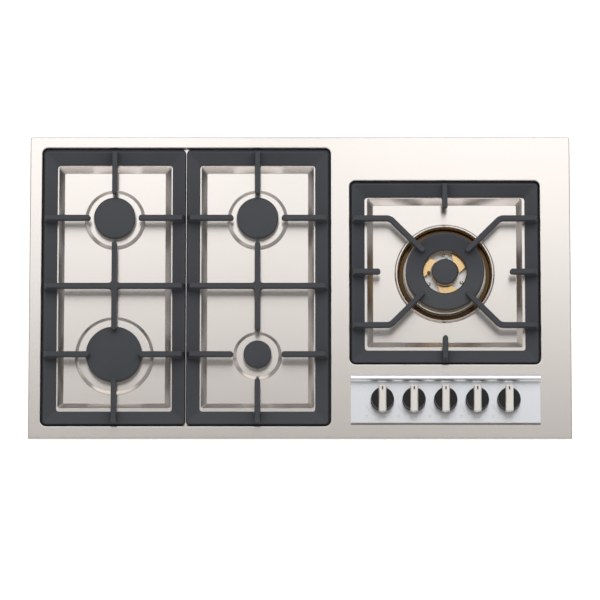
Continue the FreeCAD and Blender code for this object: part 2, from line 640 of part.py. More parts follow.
def cup(b, x, y):
    """Cast cup under the panel: mixing chamber, collar through the panel, and a gas port."""
    outer = b.collar + CUP_WALL
    under = SEAT - SHEET
    body = turned([
        (0, RAIL_TOP), (outer, RAIL_TOP), (outer, under - 5), (outer + 4, under - 3), (outer + 4, under),
        (b.collar, under), (b.collar, CROWN_BASE), (b.throat + SLIP, CROWN_BASE),
        (b.throat + SLIP, RAIL_TOP + 4), (0, RAIL_TOP + 4)], x, y)
    port = rod_along((x + b.throat + 3, y, PIPE_Z), (1, 0, 0), outer + 8 - b.throat - 3, PIPE_R + PORT_WALL)
    drilled = rod_along((x + b.throat, y, PIPE_Z), (1, 0, 0), outer + 9 - b.throat, PIPE_R + 0.1)
    probes = [rod(px, py, RAIL_TOP - 1, DECK, PROBE_R + 0.1) for px, py in probe_places(b, x, y)]
    reach = b.cap - PROBE_INSET
    lead_way = box(x - 2 * LEAD_R, x + 2 * LEAD_R, y - max(outer, reach) - 1, y - reach,
                   RAIL_TOP - 1, LEAD_Z + 2 * LEAD_R)
    return body.fuse(port).cut([drilled, lead_way] + probes).removeSplitter()


def swirl_arm(start, z0, z1, r0, r1, sweep, swirl):
    """Brass bridge between two radii whose edges lean round the axis."""
    def at(r, degrees):
        a = math.radians(degrees)
        return V(WOK_X + r * math.cos(a), WOK_Y + r * math.sin(a), z0)

    outer = Part.Arc(at(r1, start), at(r1, start + sweep / 2), at(r1, start + sweep)).toShape()
    lean = start + swirl
    inner = Part.Arc(at(r0, lean + sweep), at(r0, lean + sweep / 2), at(r0, lean)).toShape()
    loop = Part.Wire([outer, Part.makeLine(at(r1, start + sweep), at(r0, lean + sweep)), inner,
                      Part.makeLine(at(r0, lean), at(r1, start))])
    return Part.Face(loop).extrude(V(0, 0, z1 - z0))


def wok_cup():
    """Cast aluminium body: floor, raised lip, hub and mixing chamber."""
    rim, lip = WOK_FLOOR - 2, DECK - WOK_LIP_DROP
    mixer, hub = RAIL_TOP + 5, DECK + WOK_HUB_TOP
    hub_floor = DECK - WOK_HUB_DROP
    body = turned([
        (0, RAIL_TOP), (WOK_CUP_R, RAIL_TOP), (WOK_CUP_R, rim), (WOK_DISH_R, rim), (WOK_DISH_R, WOK_FLOOR),
        (WOK_LIP_R, WOK_FLOOR), (WOK_LIP_R, lip - 1), (WOK_LIP_R - 1.2, lip), (WOK_LIP_R - 3, lip),
        (WOK_LIP_R - 3, WOK_FLOOR), (WOK_CUP_R - 3, WOK_FLOOR), (WOK_CUP_R - 3, hub_floor),
        (WOK_HUB_R, hub_floor), (WOK_HUB_R, hub), (WOK_MIXER_R, hub), (WOK_MIXER_R, mixer), (0, mixer)],
        WOK_X, WOK_Y)
    inside = WOK_CUP_R - 4
    port = rod_along((WOK_X + inside, WOK_Y, PIPE_Z), (1, 0, 0), 13, PIPE_R + PORT_WALL)
    drilled = rod_along((WOK_X + inside - 2, WOK_Y, PIPE_Z), (1, 0, 0), 16, PIPE_R + 0.1)
    probes = [rod(WOK_X + px, WOK_Y + py, RAIL_TOP + 1, DECK, PROBE_R + 0.1)
              for px, py in (WOK_SPARK, WOK_PROBE)]
    spark_x, spark_y = WOK_X + WOK_SPARK[0], WOK_Y + WOK_SPARK[1]
    lead_way = box(spark_x - 2 * LEAD_R, spark_x + 2 * LEAD_R, spark_y, WOK_Y + WOK_CUP_R + 1,
                   RAIL_TOP - 1, LEAD_Z + 2 * LEAD_R)
    return body.fuse(port).cut([drilled, lead_way] + probes).removeSplitter()


def wok_dish():
    """Brass dish that closes the ring between the burner and the panel."""
    sheet, inner, rim = 1.0, WOK_LIP_R + 0.6, WOK_DISH_R
    return turned([(inner, WOK_FLOOR), (rim, WOK_FLOOR), (rim, WELL - 1.0), (rim - 0.5, WELL - 0.5),
                   (rim - sheet, WELL - 1.0), (rim - sheet, WOK_FLOOR + 2 * sheet),
                   (rim - 2 * sheet, WOK_FLOOR + sheet), (inner, WOK_FLOOR + sheet)], WOK_X, WOK_Y)


def ring_slots(count, r0, r1, z0, z1):
    """Upright flame slots through a wall between two radii, all round the wok burner's axis."""
    slots = []
    for i in range(count):
        slot = box(r0, r1, -SLOT_W / 2, SLOT_W / 2, z0, z1)
        slot.rotate(V(0, 0, 0), V(0, 0, 1), 360.0 * i / count)
        slot.translate(V(WOK_X, WOK_Y, 0))
        slots.append(slot)
    return slots


def wok_outer_crown():
    """Brass ring burner: slotted outer wall, inner wall, and three bridging arms."""
    top = DECK + WOK_CAP_TOP - WOK_CAP_H
    base = DECK - WOK_LIP_DROP
    wall, thick = WOK_CAP_R - 1.2, 5.0
    inner = WOK_CAP_HOLE + 1.6
    seat = WOK_LIP_R - 3.5
    body = turned([
        (inner + 6, base), (seat, base), (seat, base + 1.6), (wall, base + 3), (wall, top),
        (wall - thick, top), (wall - thick, base + 5), (inner + 4, base + 5), (inner + 4, top),
        (inner, top), (inner, base - 3), (inner + 3, base - 3), (inner + 3, base)], WOK_X, WOK_Y)
    arms = [swirl_arm(WOK_ARM_START + 360 / WOK_ARMS * i, base + 1, base + 5, WOK_INNER_R + 2.6, inner + 1,
                      WOK_ARM_SWEEP, WOK_ARM_SWIRL) for i in range(WOK_ARMS)]
    slots = ring_slots(WOK_SLOTS, wall - thick - 1, wall + 1, top - WOK_SLOT_H, top + 1)
    probes = [rod(WOK_X + px, WOK_Y + py, base - 5, top + 1, PROBE_R + 0.8)
              for px, py in (WOK_SPARK, WOK_PROBE)]
    return body.fuse(arms).cut(slots + probes).removeSplitter()


def wok_ring_cap():
    """Enamelled ring cap whose top falls towards its hole."""
    top = DECK + WOK_CAP_TOP
    z = top - WOK_CAP_H
    hole, r, edge = WOK_CAP_HOLE, WOK_CAP_R, CAP_EDGE
    return turned([
        (hole, z), (r - 0.8, z), (r, z + 0.8), (r, top - edge), (r - 0.3 * edge, top - 0.3 * edge),
        (r - edge, top), (r - 2 * edge, top), (hole + edge, top - WOK_CAP_DISH),
        (hole, top - WOK_CAP_DISH - edge)], WOK_X, WOK_Y)


def wok_inner_crown():
    """Brass centre burner with a slotted wall."""
    z0, top = DECK + WOK_HUB_TOP, DECK + WOK_INNER_TOP - 5
    wall, thick = WOK_INNER_R - 0.6, 3.5
    throat = WOK_MIXER_R - SLIP
    body = turned([(throat - 2, z0 - 8), (throat, z0 - 8), (throat, z0), (wall + 1.6, z0),
                   (wall + 1.6, z0 + 3.4), (wall, z0 + 4.4), (wall, top), (wall - thick, top),
                   (wall - thick, z0 + 3), (throat - 2, z0 + 3)], WOK_X, WOK_Y)
    return body.cut(ring_slots(WOK_INNER_SLOTS, wall - thick - 1, wall + 1, top - SLOT_H, top + 1))


def wok_centre_cap():
    z, r = DECK + WOK_INNER_TOP - 5, WOK_INNER_R
    ring = r - 0.6 - 3.5 - SLIP
    return turned([(0, z + 1.5), (ring - 2, z + 1.5), (ring - 2, z - 1.8), (ring, z - 1.8), (ring, z),
                   (r - 0.8, z), (r, z + 0.8), (r, z + 3.2), (r - 0.4 * CAP_EDGE, z + 4.2), (r - CAP_EDGE, z + 4.7),
                   (0, z + 5)], WOK_X, WOK_Y)


def injectors():
    """Brass jets standing in the mixing chambers."""
    places = [(x, y, RAIL_TOP + 4) for _burner, x, y in BURNERS.values()] + [(WOK_X, WOK_Y, RAIL_TOP + 5)]
    jet = [(4, 0), (4, 3), (2.6, 4), (2.2, 8)]
    return Part.makeCompound([turned([(0, z)] + [(r, z + up) for r, up in jet] + [(0, z + 8)], x, y)
                              for x, y, z in places])


def probe_axes(which):
    """Axes of the spark plugs (0) or the thermocouples (1), with the height of each foot and tip."""
    axes = [(*list(probe_places(b, x, y))[which], RAIL_TOP, DECK - 8) for b, x, y in BURNERS.values()]
    offset = (WOK_SPARK, WOK_PROBE)[which]
    return axes + [(WOK_X + offset[0], WOK_Y + offset[1], RAIL_TOP + 1, DECK + (0.5, -1.0)[which])]


def spark_plugs():
    """Ceramic rods with a collar and a wire tip."""
    r = PROBE_R
    return Part.makeCompound([turned([(0, foot), (r, foot), (r, tip - 5), (r - 0.8, tip - 3.5),
                                      (0.8, tip - 3.5), (0.8, tip), (0, tip)], x, y)
                              for x, y, foot, tip in probe_axes(0)])


def thermocouples():
    """Flame sensors: a thin brass rod in a collar."""
    r = PROBE_R
    return Part.makeCompound([turned([(0, foot), (r, foot), (r, tip - 9), (r - 1, tip - 7), (r - 1, tip - 1),
                                      (0, tip)], x, y) for x, y, foot, tip in probe_axes(1)])


# ---------------------------------------------------------------- controls
def knob(x):
    """Black knob body: tapered drum with a hub inside and a slot across its top for the bar."""
    z0, z1 = KNOB_BASE, KNOB_TOP
    seat = z1 - BAR_DEPTH
    drum = turned([(0, z0), (6.5, z0), (6.5, seat - 1.5), (KNOB_R - 2, seat - 2.5), (KNOB_R - 1.2, z0),
                   (KNOB_FOOT_R, z0), (KNOB_FOOT_R, z0 + 1.2), (KNOB_R + 0.3, z0 + 2.6), (KNOB_R, z1 - KNOB_EDGE),
                   (KNOB_R - KNOB_EDGE, z1), (0, z1)], x, KNOB_Y)
    reach = BAR_W / 2 + 0.1
    slot = box(x - reach, x + reach, KNOB_Y - BAR_L, KNOB_Y + BAR_L, seat, z1 + 1)
    hole = rod(x, KNOB_Y, z0 - 1, seat - 0.5, SPINDLE_R + RUN_FIT)
    return drum.cut([slot, hole])


def knob_bar(x):
    """Metal grip bar: bevelled, with round ends that run down outside the drum, and an index slot."""
    top, seat, low = KNOB_TOP + BAR_RISE, KNOB_TOP - BAR_DEPTH, KNOB_BASE + 3
    half, bevel = BAR_W / 2, BAR_BEVEL
    section = Part.makePolygon([V(x + u, KNOB_Y - BAR_L / 2, z) for u, z in (
        (-half, low), (half, low), (half, top - bevel), (half - bevel, top), (bevel - half, top),
        (-half, top - bevel), (-half, low))])
    bar = Part.Face(section).extrude(V(0, BAR_L, 0)).common(rod(x, KNOB_Y, low, top, BAR_L / 2))
    under = rod(x, KNOB_Y, low - 1, seat, KNOB_FOOT_R + 0.1)
    end = KNOB_Y + BAR_L / 2 - INDEX_INSET
    index = box(x - INDEX_W / 2, x + INDEX_W / 2, end - INDEX_L, end, top - INDEX_D, top + 1)
    return bar.cut([under, index])


def plug_span():
    """Lowest and highest point of the turning plug inside a tap."""
    return PLUG_Z, PLUG_Z + PLUG_L


def spindle(x):
    """Round spindle with a flat for the knob; its lower end slides in the plug."""
    low = PLUG_Z + PLUG_L / 2
    top = KNOB_TOP - BAR_DEPTH - 1
    shaft = rod(x, KNOB_Y, low, top, SPINDLE_R)
    flat = box(x + SPINDLE_R - 0.7, x + SPINDLE_R + 1, KNOB_Y - 5, KNOB_Y + 5, top - 9, top + 1)
    return shaft.cut(flat)


def tap_plug(x):
    """Tapered plug that turns in the tap, with the spindle's sleeve."""
    z0, z1 = plug_span()
    cone = turned([(0, z0), (PLUG_R - PLUG_TAPER, z0), (PLUG_R, z1), (0, z1)], x, KNOB_Y)
    return cone.cut(rod(x, KNOB_Y, z0 + PLUG_L / 4, z1 + 1, SPINDLE_R + RUN_FIT))


def tap_bodies():
    """Five brass taps: round body over the plug, saddle on the gas rail, and an outlet."""
    z0, z1 = plug_span()
    low, high = PLUG_R - PLUG_TAPER + RUN_FIT, PLUG_R + RUN_FIT
    taps = []
    for x in KNOB_X:
        body = rod(x, KNOB_Y, RAIL_TOP, z1 + 6, TAP_R)
        saddle = box(x - 8, x + 8, MANIFOLD_Y + 1, KNOB_Y, MANIFOLD_Z - 9, MANIFOLD_Z + 9)
        outlet = rod_along((x, KNOB_Y, PIPE_Z), (0, 1, 0), TAP_R + 8, PIPE_R + PORT_WALL)
        cavity = turned([(0, z0 - 0.3), (low, z0 - 0.3), (low, z0), (high, z1), (high, z1 + 0.3),
                         (0, z1 + 0.3)], x, KNOB_Y)
        neck = rod(x, KNOB_Y, z1, DECK, SPINDLE_R + SLIP)
        rail = rod_along((x - 12, MANIFOLD_Y, MANIFOLD_Z), (1, 0, 0), 24, MANIFOLD_R + 0.15)
        drilled = rod_along((x, KNOB_Y + TAP_R + 1.5, PIPE_Z), (0, 1, 0), 8, PIPE_R + 0.1)
        taps.append(body.fuse([saddle, outlet]).cut([cavity, neck, rail, drilled]).removeSplitter())
    return Part.makeCompound(taps)


# ---------------------------------------------------------------- tray, gas train and electrics
def bottom_tray():
    """Sheet tray with a raised pocket in its rear right corner."""
    top = DECK - SHEET
    hx, hy = TRAY_W / 2, TRAY_D / 2
    outer = block(0, 0, TRAY_W, TRAY_D, TRAY_CORNER, 0, top)
    outer = outer.cut(box(hx - POCKET_W, hx + 9, hy - POCKET_D, hy + 9, -1, POCKET_H))
    inner = block(0, 0, TRAY_W - 2 * TRAY_T, TRAY_D - 2 * TRAY_T, TRAY_CORNER - TRAY_T, TRAY_T, top + 1)
    inner = inner.cut(box(hx - POCKET_W - TRAY_T, hx + 9, hy - POCKET_D - TRAY_T, hy + 9,
                          -1, POCKET_H + TRAY_T))
    holes = [rod(INLET_X, INLET_Y, 0, DECK - 2, INLET_R + 0.6),
             rod(GLAND_X, INLET_Y, 0, DECK - 2, GLAND_R - 2.7)]
    holes += [rod(x, y, -1, TRAY_T + 1, SCREW_R + 0.1) for x, y in rail_screws()]
    for x, side in clamp_places():
        holes.append(rod_along((x, side * (hy - 3), CLAMP_SCREW_Z), (0, side, 0), 6, SCREW_R + 0.1))
    return outer.cut([inner] + holes)


def clamp_places():
    return [(x, side) for side in (-1, 1) for x in (-CUTOUT_W / 3, 0.0, CUTOUT_W / 3)]


def fixing_clamps():
    """Angle brackets on the tray's walls that reach under the worktop and hold the cooktop down."""
    clamps = []
    wall, half = TRAY_D / 2, CLAMP_W / 2
    for x, side in clamp_places():
        upright = box(x - half, x + half, wall, wall + CLAMP_T, CLAMP_T, CLAMP_TOP)
        shelf = box(x - half, x + half, wall, wall + CLAMP_REACH, CLAMP_TOP - CLAMP_T, CLAMP_TOP)
        slot = box(x - SCREW_R - 0.1, x + SCREW_R + 0.1, wall - 1, wall + 3,
                   CLAMP_SCREW_Z - 6, CLAMP_SCREW_Z + 6)
        clamp = upright.fuse(shelf).cut(slot).removeSplitter()
        if side < 0:
            clamp = clamp.mirror(V(0, 0, 0), V(0, 1, 0))
        clamps.append(clamp)
    return Part.makeCompound(clamps)


def screw(start, direction, length):
    """Pan-head screw whose head's underside is at start."""
    back = [-c * SCREW_HEAD_H for c in direction]
    head_at = [s + b for s, b in zip(start, back)]
    return rod_along(head_at, direction, SCREW_HEAD_H, SCREW_HEAD_R).fuse(
        rod_along(start, direction, length, SCREW_R)).removeSplitter()


def rail_spans():
    """Supports on the tray floor: centre, length, and whether it runs along X."""
    return [(LEFT_X - BURNER_DX, LEFT_Y, 2 * (BURNER_DY + RAPID.collar) + 44, False),
            (LEFT_X + BURNER_DX, LEFT_Y, 2 * (BURNER_DY + SEMI_RAPID.collar) + 32, False),
            (WOK_X, WOK_Y, 3 * WOK_CUP_R, False),
            (WOK_X, KNOB_Y, KNOB_PITCH * KNOB_COUNT + 2 * TAP_R, True)]


def rail_screws():
    places = []
    for cx, cy, length, along_x in rail_spans():
        for side in (-1, 1):
            reach = side * (length / 2 - 8)
            aside = (RAIL_W + RAIL_FOOT) / 2
            places.append((cx + reach, cy + aside) if along_x else (cx + aside, cy + reach))
    return places


def support_rails():
    """Folded steel hat rails that carry the burner cups and the taps."""
    rails = []
    half, foot = RAIL_W / 2, RAIL_W / 2 + RAIL_FOOT
    z0, z1 = TRAY_T, RAIL_TOP
    for cx, cy, length, along_x in rail_spans():
        section = Part.makePolygon([V(u, -length / 2, z) for u, z in (
            (-foot, z0), (-half + RAIL_T, z0), (-half + RAIL_T, z1 - RAIL_T), (half - RAIL_T, z1 - RAIL_T),
            (half - RAIL_T, z0), (foot, z0), (foot, z0 + RAIL_T), (half, z0 + RAIL_T), (half, z1),
            (-half, z1), (-half, z0 + RAIL_T), (-foot, z0 + RAIL_T), (-foot, z0))])
        rail = Part.Face(section).extrude(V(0, length, 0))
        if along_x:
            rail.rotate(V(0, 0, 0), V(0, 0, 1), 90)
        rail.translate(V(cx, cy, 0))
        rails.append(rail.cut([rod(x, y, -1, z0 + 3, SCREW_R + 0.1) for x, y in rail_screws()]))
    return Part.makeCompound(rails)


def fixing_screws():
    """All the screws of one size: through the clamps, and through the rails' feet."""
    screws = []
    outside = TRAY_D / 2 + CLAMP_T
    for x, side in clamp_places():
        screws.append(screw((x, side * outside, CLAMP_SCREW_Z), (0, -side, 0), 5.0))
    for x, y in rail_screws():
        screws.append(screw((x, y, TRAY_T + RAIL_T), (0, 0, -1), TRAY_T + RAIL_T))
    return Part.makeCompound(screws)


def worktop_seal():
    """Foam strip between the rim and the worktop."""
    z0, z1 = DECK - RIM_H, DECK - SHEET
    outer = block(0, 0, PANEL_W - 2 * SEAL_INSET, PANEL_D - 2 * SEAL_INSET, PANEL_CORNER, z0, z1)
    return outer.cut(block(0, 0, CUTOUT_W + 2 * SEAL_GAP, CUTOUT_D + 2 * SEAL_GAP, PANEL_CORNER,
                           z0 - 1, z1 + 1))


def gas_manifold():
    """Gas rail: along the front of the taps, then back to the inlet."""
    return tube([(KNOB_X[0] - 22, MANIFOLD_Y, MANIFOLD_Z), (INLET_X, MANIFOLD_Y, MANIFOLD_Z),
                 (INLET_X, INLET_Y - NUT_R + 1, MANIFOLD_Z)], MANIFOLD_R, MANIFOLD_BEND)


def gas_inlet():
    """Brass elbow with a parallel male thread that points down in the tray's pocket."""
    floor, nut_z = POCKET_H + TRAY_T, POCKET_H - NUT_H
    elbow = block(INLET_X, INLET_Y, 26, 26, 3, floor, MANIFOLD_Z + 11)
    stem = rod(INLET_X, INLET_Y, nut_z - INLET_L, floor + 1, INLET_R)
    nut = Part.Face(Part.makePolygon([V(INLET_X + NUT_R * math.cos(math.radians(60 * i)),
                                        INLET_Y + NUT_R * math.sin(math.radians(60 * i)), nut_z)
                                      for i in range(7)])).extrude(V(0, 0, NUT_H))
    bore = rod(INLET_X, INLET_Y, 0, MANIFOLD_Z, 6.5)
    socket = rod_along((INLET_X, INLET_Y - 14, MANIFOLD_Z), (0, 1, 0), 14, 6.0)
    return elbow.fuse([stem, nut]).cut([bore, socket]).removeSplitter()


def gas_pipes():
    """Five supply pipes from the taps to the burner ports, laid so that none cross."""
    def port(name):
        b, x, y = BURNERS[name]
        return x + b.collar + CUP_WALL + 6, y

    start = KNOB_Y + TAP_R + 2
    front_centre, front_left = port("front_centre"), port("front_left")
    rear_left, rear_centre = port("rear_left"), port("rear_centre")
    lane = 4.2 * PIPE_R
    front_lane = LEFT_Y - BURNER_DY + front_centre[0] - BURNERS["front_centre"][1] + 18
    lanes = [front_lane, front_lane + lane, front_lane + 2 * lane]
    plans = [
        [(KNOB_X[0], start), (KNOB_X[0], front_centre[1]), front_centre],
        [(KNOB_X[1], start), (KNOB_X[1], lanes[0]), (front_left[0] + 2 * lane, lanes[0]),
         (front_left[0] + 2 * lane, front_left[1]), front_left],
        [(KNOB_X[2], start), (KNOB_X[2], lanes[1]), (rear_left[0] + 5 * lane, lanes[1]),
         (rear_left[0] + 5 * lane, rear_left[1]), rear_left],
        [(KNOB_X[3], start), (KNOB_X[3], lanes[2]), (rear_centre[0] + 3 * lane, lanes[2]),
         (rear_centre[0] + 3 * lane, rear_centre[1]), rear_centre],
        [(KNOB_X[4], start), (KNOB_X[4], WOK_Y), (WOK_X + WOK_CUP_R + 2, WOK_Y)],
    ]
    return Part.makeCompound([tube([(x, y, PIPE_Z) for x, y in plan], PIPE_R, PIPE_BEND) for plan in plans])


def ignition_module():
    """Spark generator: a potted box with two fixing ears."""
    body = block(MODULE_X, MODULE_Y, MODULE_W, MODULE_D, 3, TRAY_T, TRAY_T + MODULE_H)
    ears = block(MODULE_X, MODULE_Y, MODULE_W + 2 * MODULE_EAR, MODULE_D / 3, 3, TRAY_T, TRAY_T + 3)
    return body.fuse(ears).removeSplitter()


def ignition_leads():
    """High-voltage leads from the module to the spark plugs, under the gas pipes."""
    ends = [(x, y) for x, y, _, _ in probe_axes(0)]
    step = MODULE_W / 7
    out = [MODULE_X + step * (i - 2) for i in range(5)]
    lanes = [MODULE_FRONT - 8, MODULE_FRONT - 16, LEFT_Y + 8, LEFT_Y - 14]
    leads = []
    for x, lane, (ex, ey) in zip(out, lanes, ends):
        aside, front = ex + RAIL_W + RAIL_FOOT, ey - 14
        leads.append([(x, MODULE_FRONT), (x, lane), (aside, lane), (aside, front), (ex, front),
                      (ex, ey - PROBE_R)])
    wok_x, wok_y = ends[-1]
    bend_y = WOK_Y + 2.5 * WOK_CUP_R
    leads.append([(out[-1], MODULE_FRONT), (out[-1], bend_y), (wok_x, bend_y), (wok_x, wok_y + PROBE_R)])
    return Part.makeCompound([tube([(x, y, LEAD_Z) for x, y in lead], LEAD_R, LEAD_BEND) for lead in leads])


def terminal_block():
    """Three-way mains terminal on the tray floor beside the pocket."""
    x0, y0, z1 = TERMINAL_X, INLET_Y - TERMINAL_D / 2, TRAY_T + TERMINAL_H
    x1, y1, rib = x0 + TERMINAL_W, y0 + TERMINAL_D, 1.5
    body = box(x0, x1, y0, y1, TRAY_T, z1)
    pitch = (TERMINAL_W - rib) / 3
    ribs = [box(x0 + pitch * i, x0 + pitch * i + rib, y0, y1, z1, z1 + TERMINAL_H / 3) for i in range(4)]
    return body.fuse(ribs).removeSplitter()


def cable_gland():
    """Plastic cable gland that points down in the pocket."""
    z, floor, neck = POCKET_H, POCKET_H + TRAY_T, GLAND_R - 3
    return turned([(GLAND_BORE, z - 15), (GLAND_BORE + 2.5, z - 15), (neck + 0.5, z - 11), (neck + 0.5, z - 8),
                   (GLAND_R, z - 8), (GLAND_R, z), (neck, z), (neck, floor), (GLAND_R, floor),
                   (GLAND_R, floor + 4), (neck, floor + 4), (neck, floor + 6), (GLAND_BORE, floor + 6)],
                  GLAND_X, INLET_Y)


# ---------------------------------------------------------------- every piece
def main():
    os.makedirs("parts", exist_ok=True)
    save("top_panel", top_panel())
    save("control_plate", control_plate())
    save("bottom_tray", bottom_tray())
    save("worktop_seal", worktop_seal())
    save("fixing_clamps", fixing_clamps())
    save("fixing_screws", fixing_screws())
    save("support_rails", support_rails())
    save("gas_manifold", gas_manifold())
    save("gas_inlet", gas_inlet())
    save("gas_pipes", gas_pipes())
    save("tap_bodies", tap_bodies())
    save("ignition_module", ignition_module())
    save("ignition_leads", ignition_leads())
    save("terminal_block", terminal_block())
    save("cable_gland", cable_gland())
    save("injectors", injectors())
    save("spark_plugs", spark_plugs())
    save("thermocouples", thermocouples())
    save("burner_cups", Part.makeCompound([cup(*place) for place in BURNERS.values()]))
    for name, place in BURNERS.items():
        save(name + "_crown", crown(*place))
        save(name + "_cap", cap(*place))
    save("wok_cup", wok_cup())
    save("wok_dish", wok_dish())
    save("wok_outer_crown", wok_outer_crown())
    save("wok_ring_cap", wok_ring_cap())
    save("wok_inner_crown", wok_inner_crown())
    save("wok_centre_cap", wok_centre_cap())
    support_y = LEFT_Y + SUPPORT_SHIFT
    for name, side in (("left", -1), ("centre", 1)):
        save(name + "_support", left_support(side))
        save(name + "_support_feet", support_feet(LEFT_X + side * BURNER_DX, support_y, SUPPORT_W, SUPPORT_D))
    save("wok_support", wok_support())
    save("wok_support_feet", support_feet(WOK_X, WOK_Y + SUPPORT_SHIFT, WOK_SUPPORT_W, WOK_SUPPORT_D))
    for i, x in enumerate(KNOB_X, start=1):
        save("knob_%d" % i, knob(x))
        save("knob_bar_%d" % i, knob_bar(x))
        save("spindle_%d" % i, spindle(x))
        save("tap_plug_%d" % i, tap_plug(x))


main()
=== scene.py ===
# %% [markdown]
# # A built-in gas cooktop, seen from above
#
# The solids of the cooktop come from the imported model. This script gives each of them the finish of
# the real piece, adds the printed marks that are too thin to be solids, and sets a plain studio.
#
# Everything is in metres, with X to the right, Y to the back and Z up.

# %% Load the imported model
import math

import bpy
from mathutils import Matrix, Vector


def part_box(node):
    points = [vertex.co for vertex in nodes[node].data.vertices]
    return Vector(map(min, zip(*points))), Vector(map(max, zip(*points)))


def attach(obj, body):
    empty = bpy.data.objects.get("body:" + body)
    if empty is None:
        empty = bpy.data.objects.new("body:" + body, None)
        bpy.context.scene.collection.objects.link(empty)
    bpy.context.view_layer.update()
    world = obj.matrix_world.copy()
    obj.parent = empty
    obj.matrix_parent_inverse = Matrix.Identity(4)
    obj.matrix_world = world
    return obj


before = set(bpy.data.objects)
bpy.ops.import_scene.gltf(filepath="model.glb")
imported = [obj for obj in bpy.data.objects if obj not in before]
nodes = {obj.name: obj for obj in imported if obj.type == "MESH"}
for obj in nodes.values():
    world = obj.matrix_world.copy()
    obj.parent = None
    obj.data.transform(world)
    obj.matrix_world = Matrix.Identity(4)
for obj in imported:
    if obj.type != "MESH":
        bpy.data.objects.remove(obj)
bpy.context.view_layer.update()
print("pieces in the frame:", len(nodes))

# %% [markdown]
# ## The camera
#
# The photograph was taken from high above with a long lens, leaning about ten degrees to the front:
# the knobs show a little of their front side and nothing of the back. A lens this long keeps the
# panel's sides almost parallel. It could be placed by eye, but it is simpler to work out: the panel's
# known width and its width in the picture give the focal length for any distance.

# %% Place the camera
VIEW_LEAN = math.radians(10.0)      # from straight down, towards the front
VIEW_DISTANCE = 8.0
PICTURE_PX = 600
PANEL_PX = 542.7                    # width of the panel in the picture
SENSOR_MM = 36.0

panel_low, panel_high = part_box("top_panel")
deck = panel_high.z
panel_width = panel_high.x - panel_low.x
aim = Vector((0.0, -0.0215, deck))

camera_data = bpy.data.cameras.new("camera")
camera_data.sensor_width = SENSOR_MM
camera_data.lens = PANEL_PX / PICTURE_PX * SENSOR_MM * VIEW_DISTANCE / panel_width
camera = bpy.data.objects.new("camera", camera_data)
bpy.context.scene.collection.objects.link(camera)
camera.location = aim + VIEW_DISTANCE * Vector((0.0, -math.sin(VIEW_LEAN), math.cos(VIEW_LEAN)))
camera.rotation_euler = (aim - camera.location).to_track_quat("-Z", "Y").to_euler()
bpy.context.scene.camera = camera
bpy.context.scene.view_settings.view_transform = "Standard"
print("focal length, mm:", round(camera_data.lens, 1))

# %% [markdown]
# ## The studio
#
# Steel has almost no colour of its own: it shows what it reflects. The picture's panel is nearly
# white at the back and a warm grey at the front, and its middle is a little darker than its sides.
# So two large soft lamps hang side by side over the back half, and their light falls off towards the
# front. An even grey world fills the shadows. A long low lamp in front and a weak one at the left,
# both a little warm, pick out the edges.

# %% Hang the lamps
WHITE = (1.0, 1.0, 1.0)
WARM_WHITE = (1.0, 0.93, 0.87)
WARMER_WHITE = (1.0, 0.92, 0.85)
MIDDLE = (0.0, 0.0, 0.0)            # of the cooktop, where the low lamps look
WORLD_COLOUR = (0.93, 0.90, 0.87, 1.0)
WORLD_LEVEL = 0.37


def soft_lamp(name, place, look_at, size, watts, tint=WHITE):
    """Hangs a rectangular lamp; size is its width and its depth."""
    data = bpy.data.lights.new(name, "AREA")
    data.shape = "RECTANGLE"
    data.size, data.size_y = size
    data.energy = watts
    data.color = tint
    lamp = bpy.data.objects.new(name, data)
    bpy.context.scene.collection.objects.link(lamp)
    lamp.location = place
    lamp.rotation_euler = (Vector(look_at) - Vector(place)).to_track_quat("-Z", "Y").to_euler()


for side, word in ((-1, "left"), (1, "right")):
    soft_lamp("lamp_back_" + word, (side * 0.75, 1.0, 1.9), (side * 0.70, 0.15, 0.0), (1.45, 1.5), 8.2)
soft_lamp("lamp_front", (-0.3, -2.2, 0.95), MIDDLE, (3.2, 0.7), 8.0, WARM_WHITE)
soft_lamp("lamp_left", (-2.3, -0.2, 0.75), MIDDLE, (1.6, 0.5), 0.9, WARMER_WHITE)

world = bpy.data.worlds.new("studio")
bpy.context.scene.world = world
world.use_nodes = True
background = world.node_tree.nodes["Background"]
background.inputs["Color"].default_value = WORLD_COLOUR
background.inputs["Strength"].default_value = WORLD_LEVEL

# %% [markdown]
# ## The floor
#
# The catalogue picture has a pure white ground. A white diffuse floor under soft lamps would come
# out grey, so the floor glows a little, but only for the rays that end in the picture: straight from
# the camera, or by way of metal or glass. The object's shadow still darkens it.

# %% Lay the floor
FLOOR_HALF = 6.0
FLOOR_Z = -0.0003
FLOOR_PAINT = (0.9, 0.9, 0.9, 1.0)
FLOOR_GLOW = 0.85


def new_material(name):
    material = bpy.data.materials.new(name)
    material.use_nodes = True
    tree = material.node_tree
    for node in list(tree.nodes):
        tree.nodes.remove(node)
    output = tree.nodes.new("ShaderNodeOutputMaterial")
    return material, tree, output


def math_node(tree, operation, a, b):
    node = tree.nodes.new("ShaderNodeMath")
    node.operation = operation
    for socket, value in zip(node.inputs, (a, b)):
        if isinstance(value, (int, float)):
            socket.default_value = value
        else:
            tree.links.new(value, socket)
    return node.outputs[0]


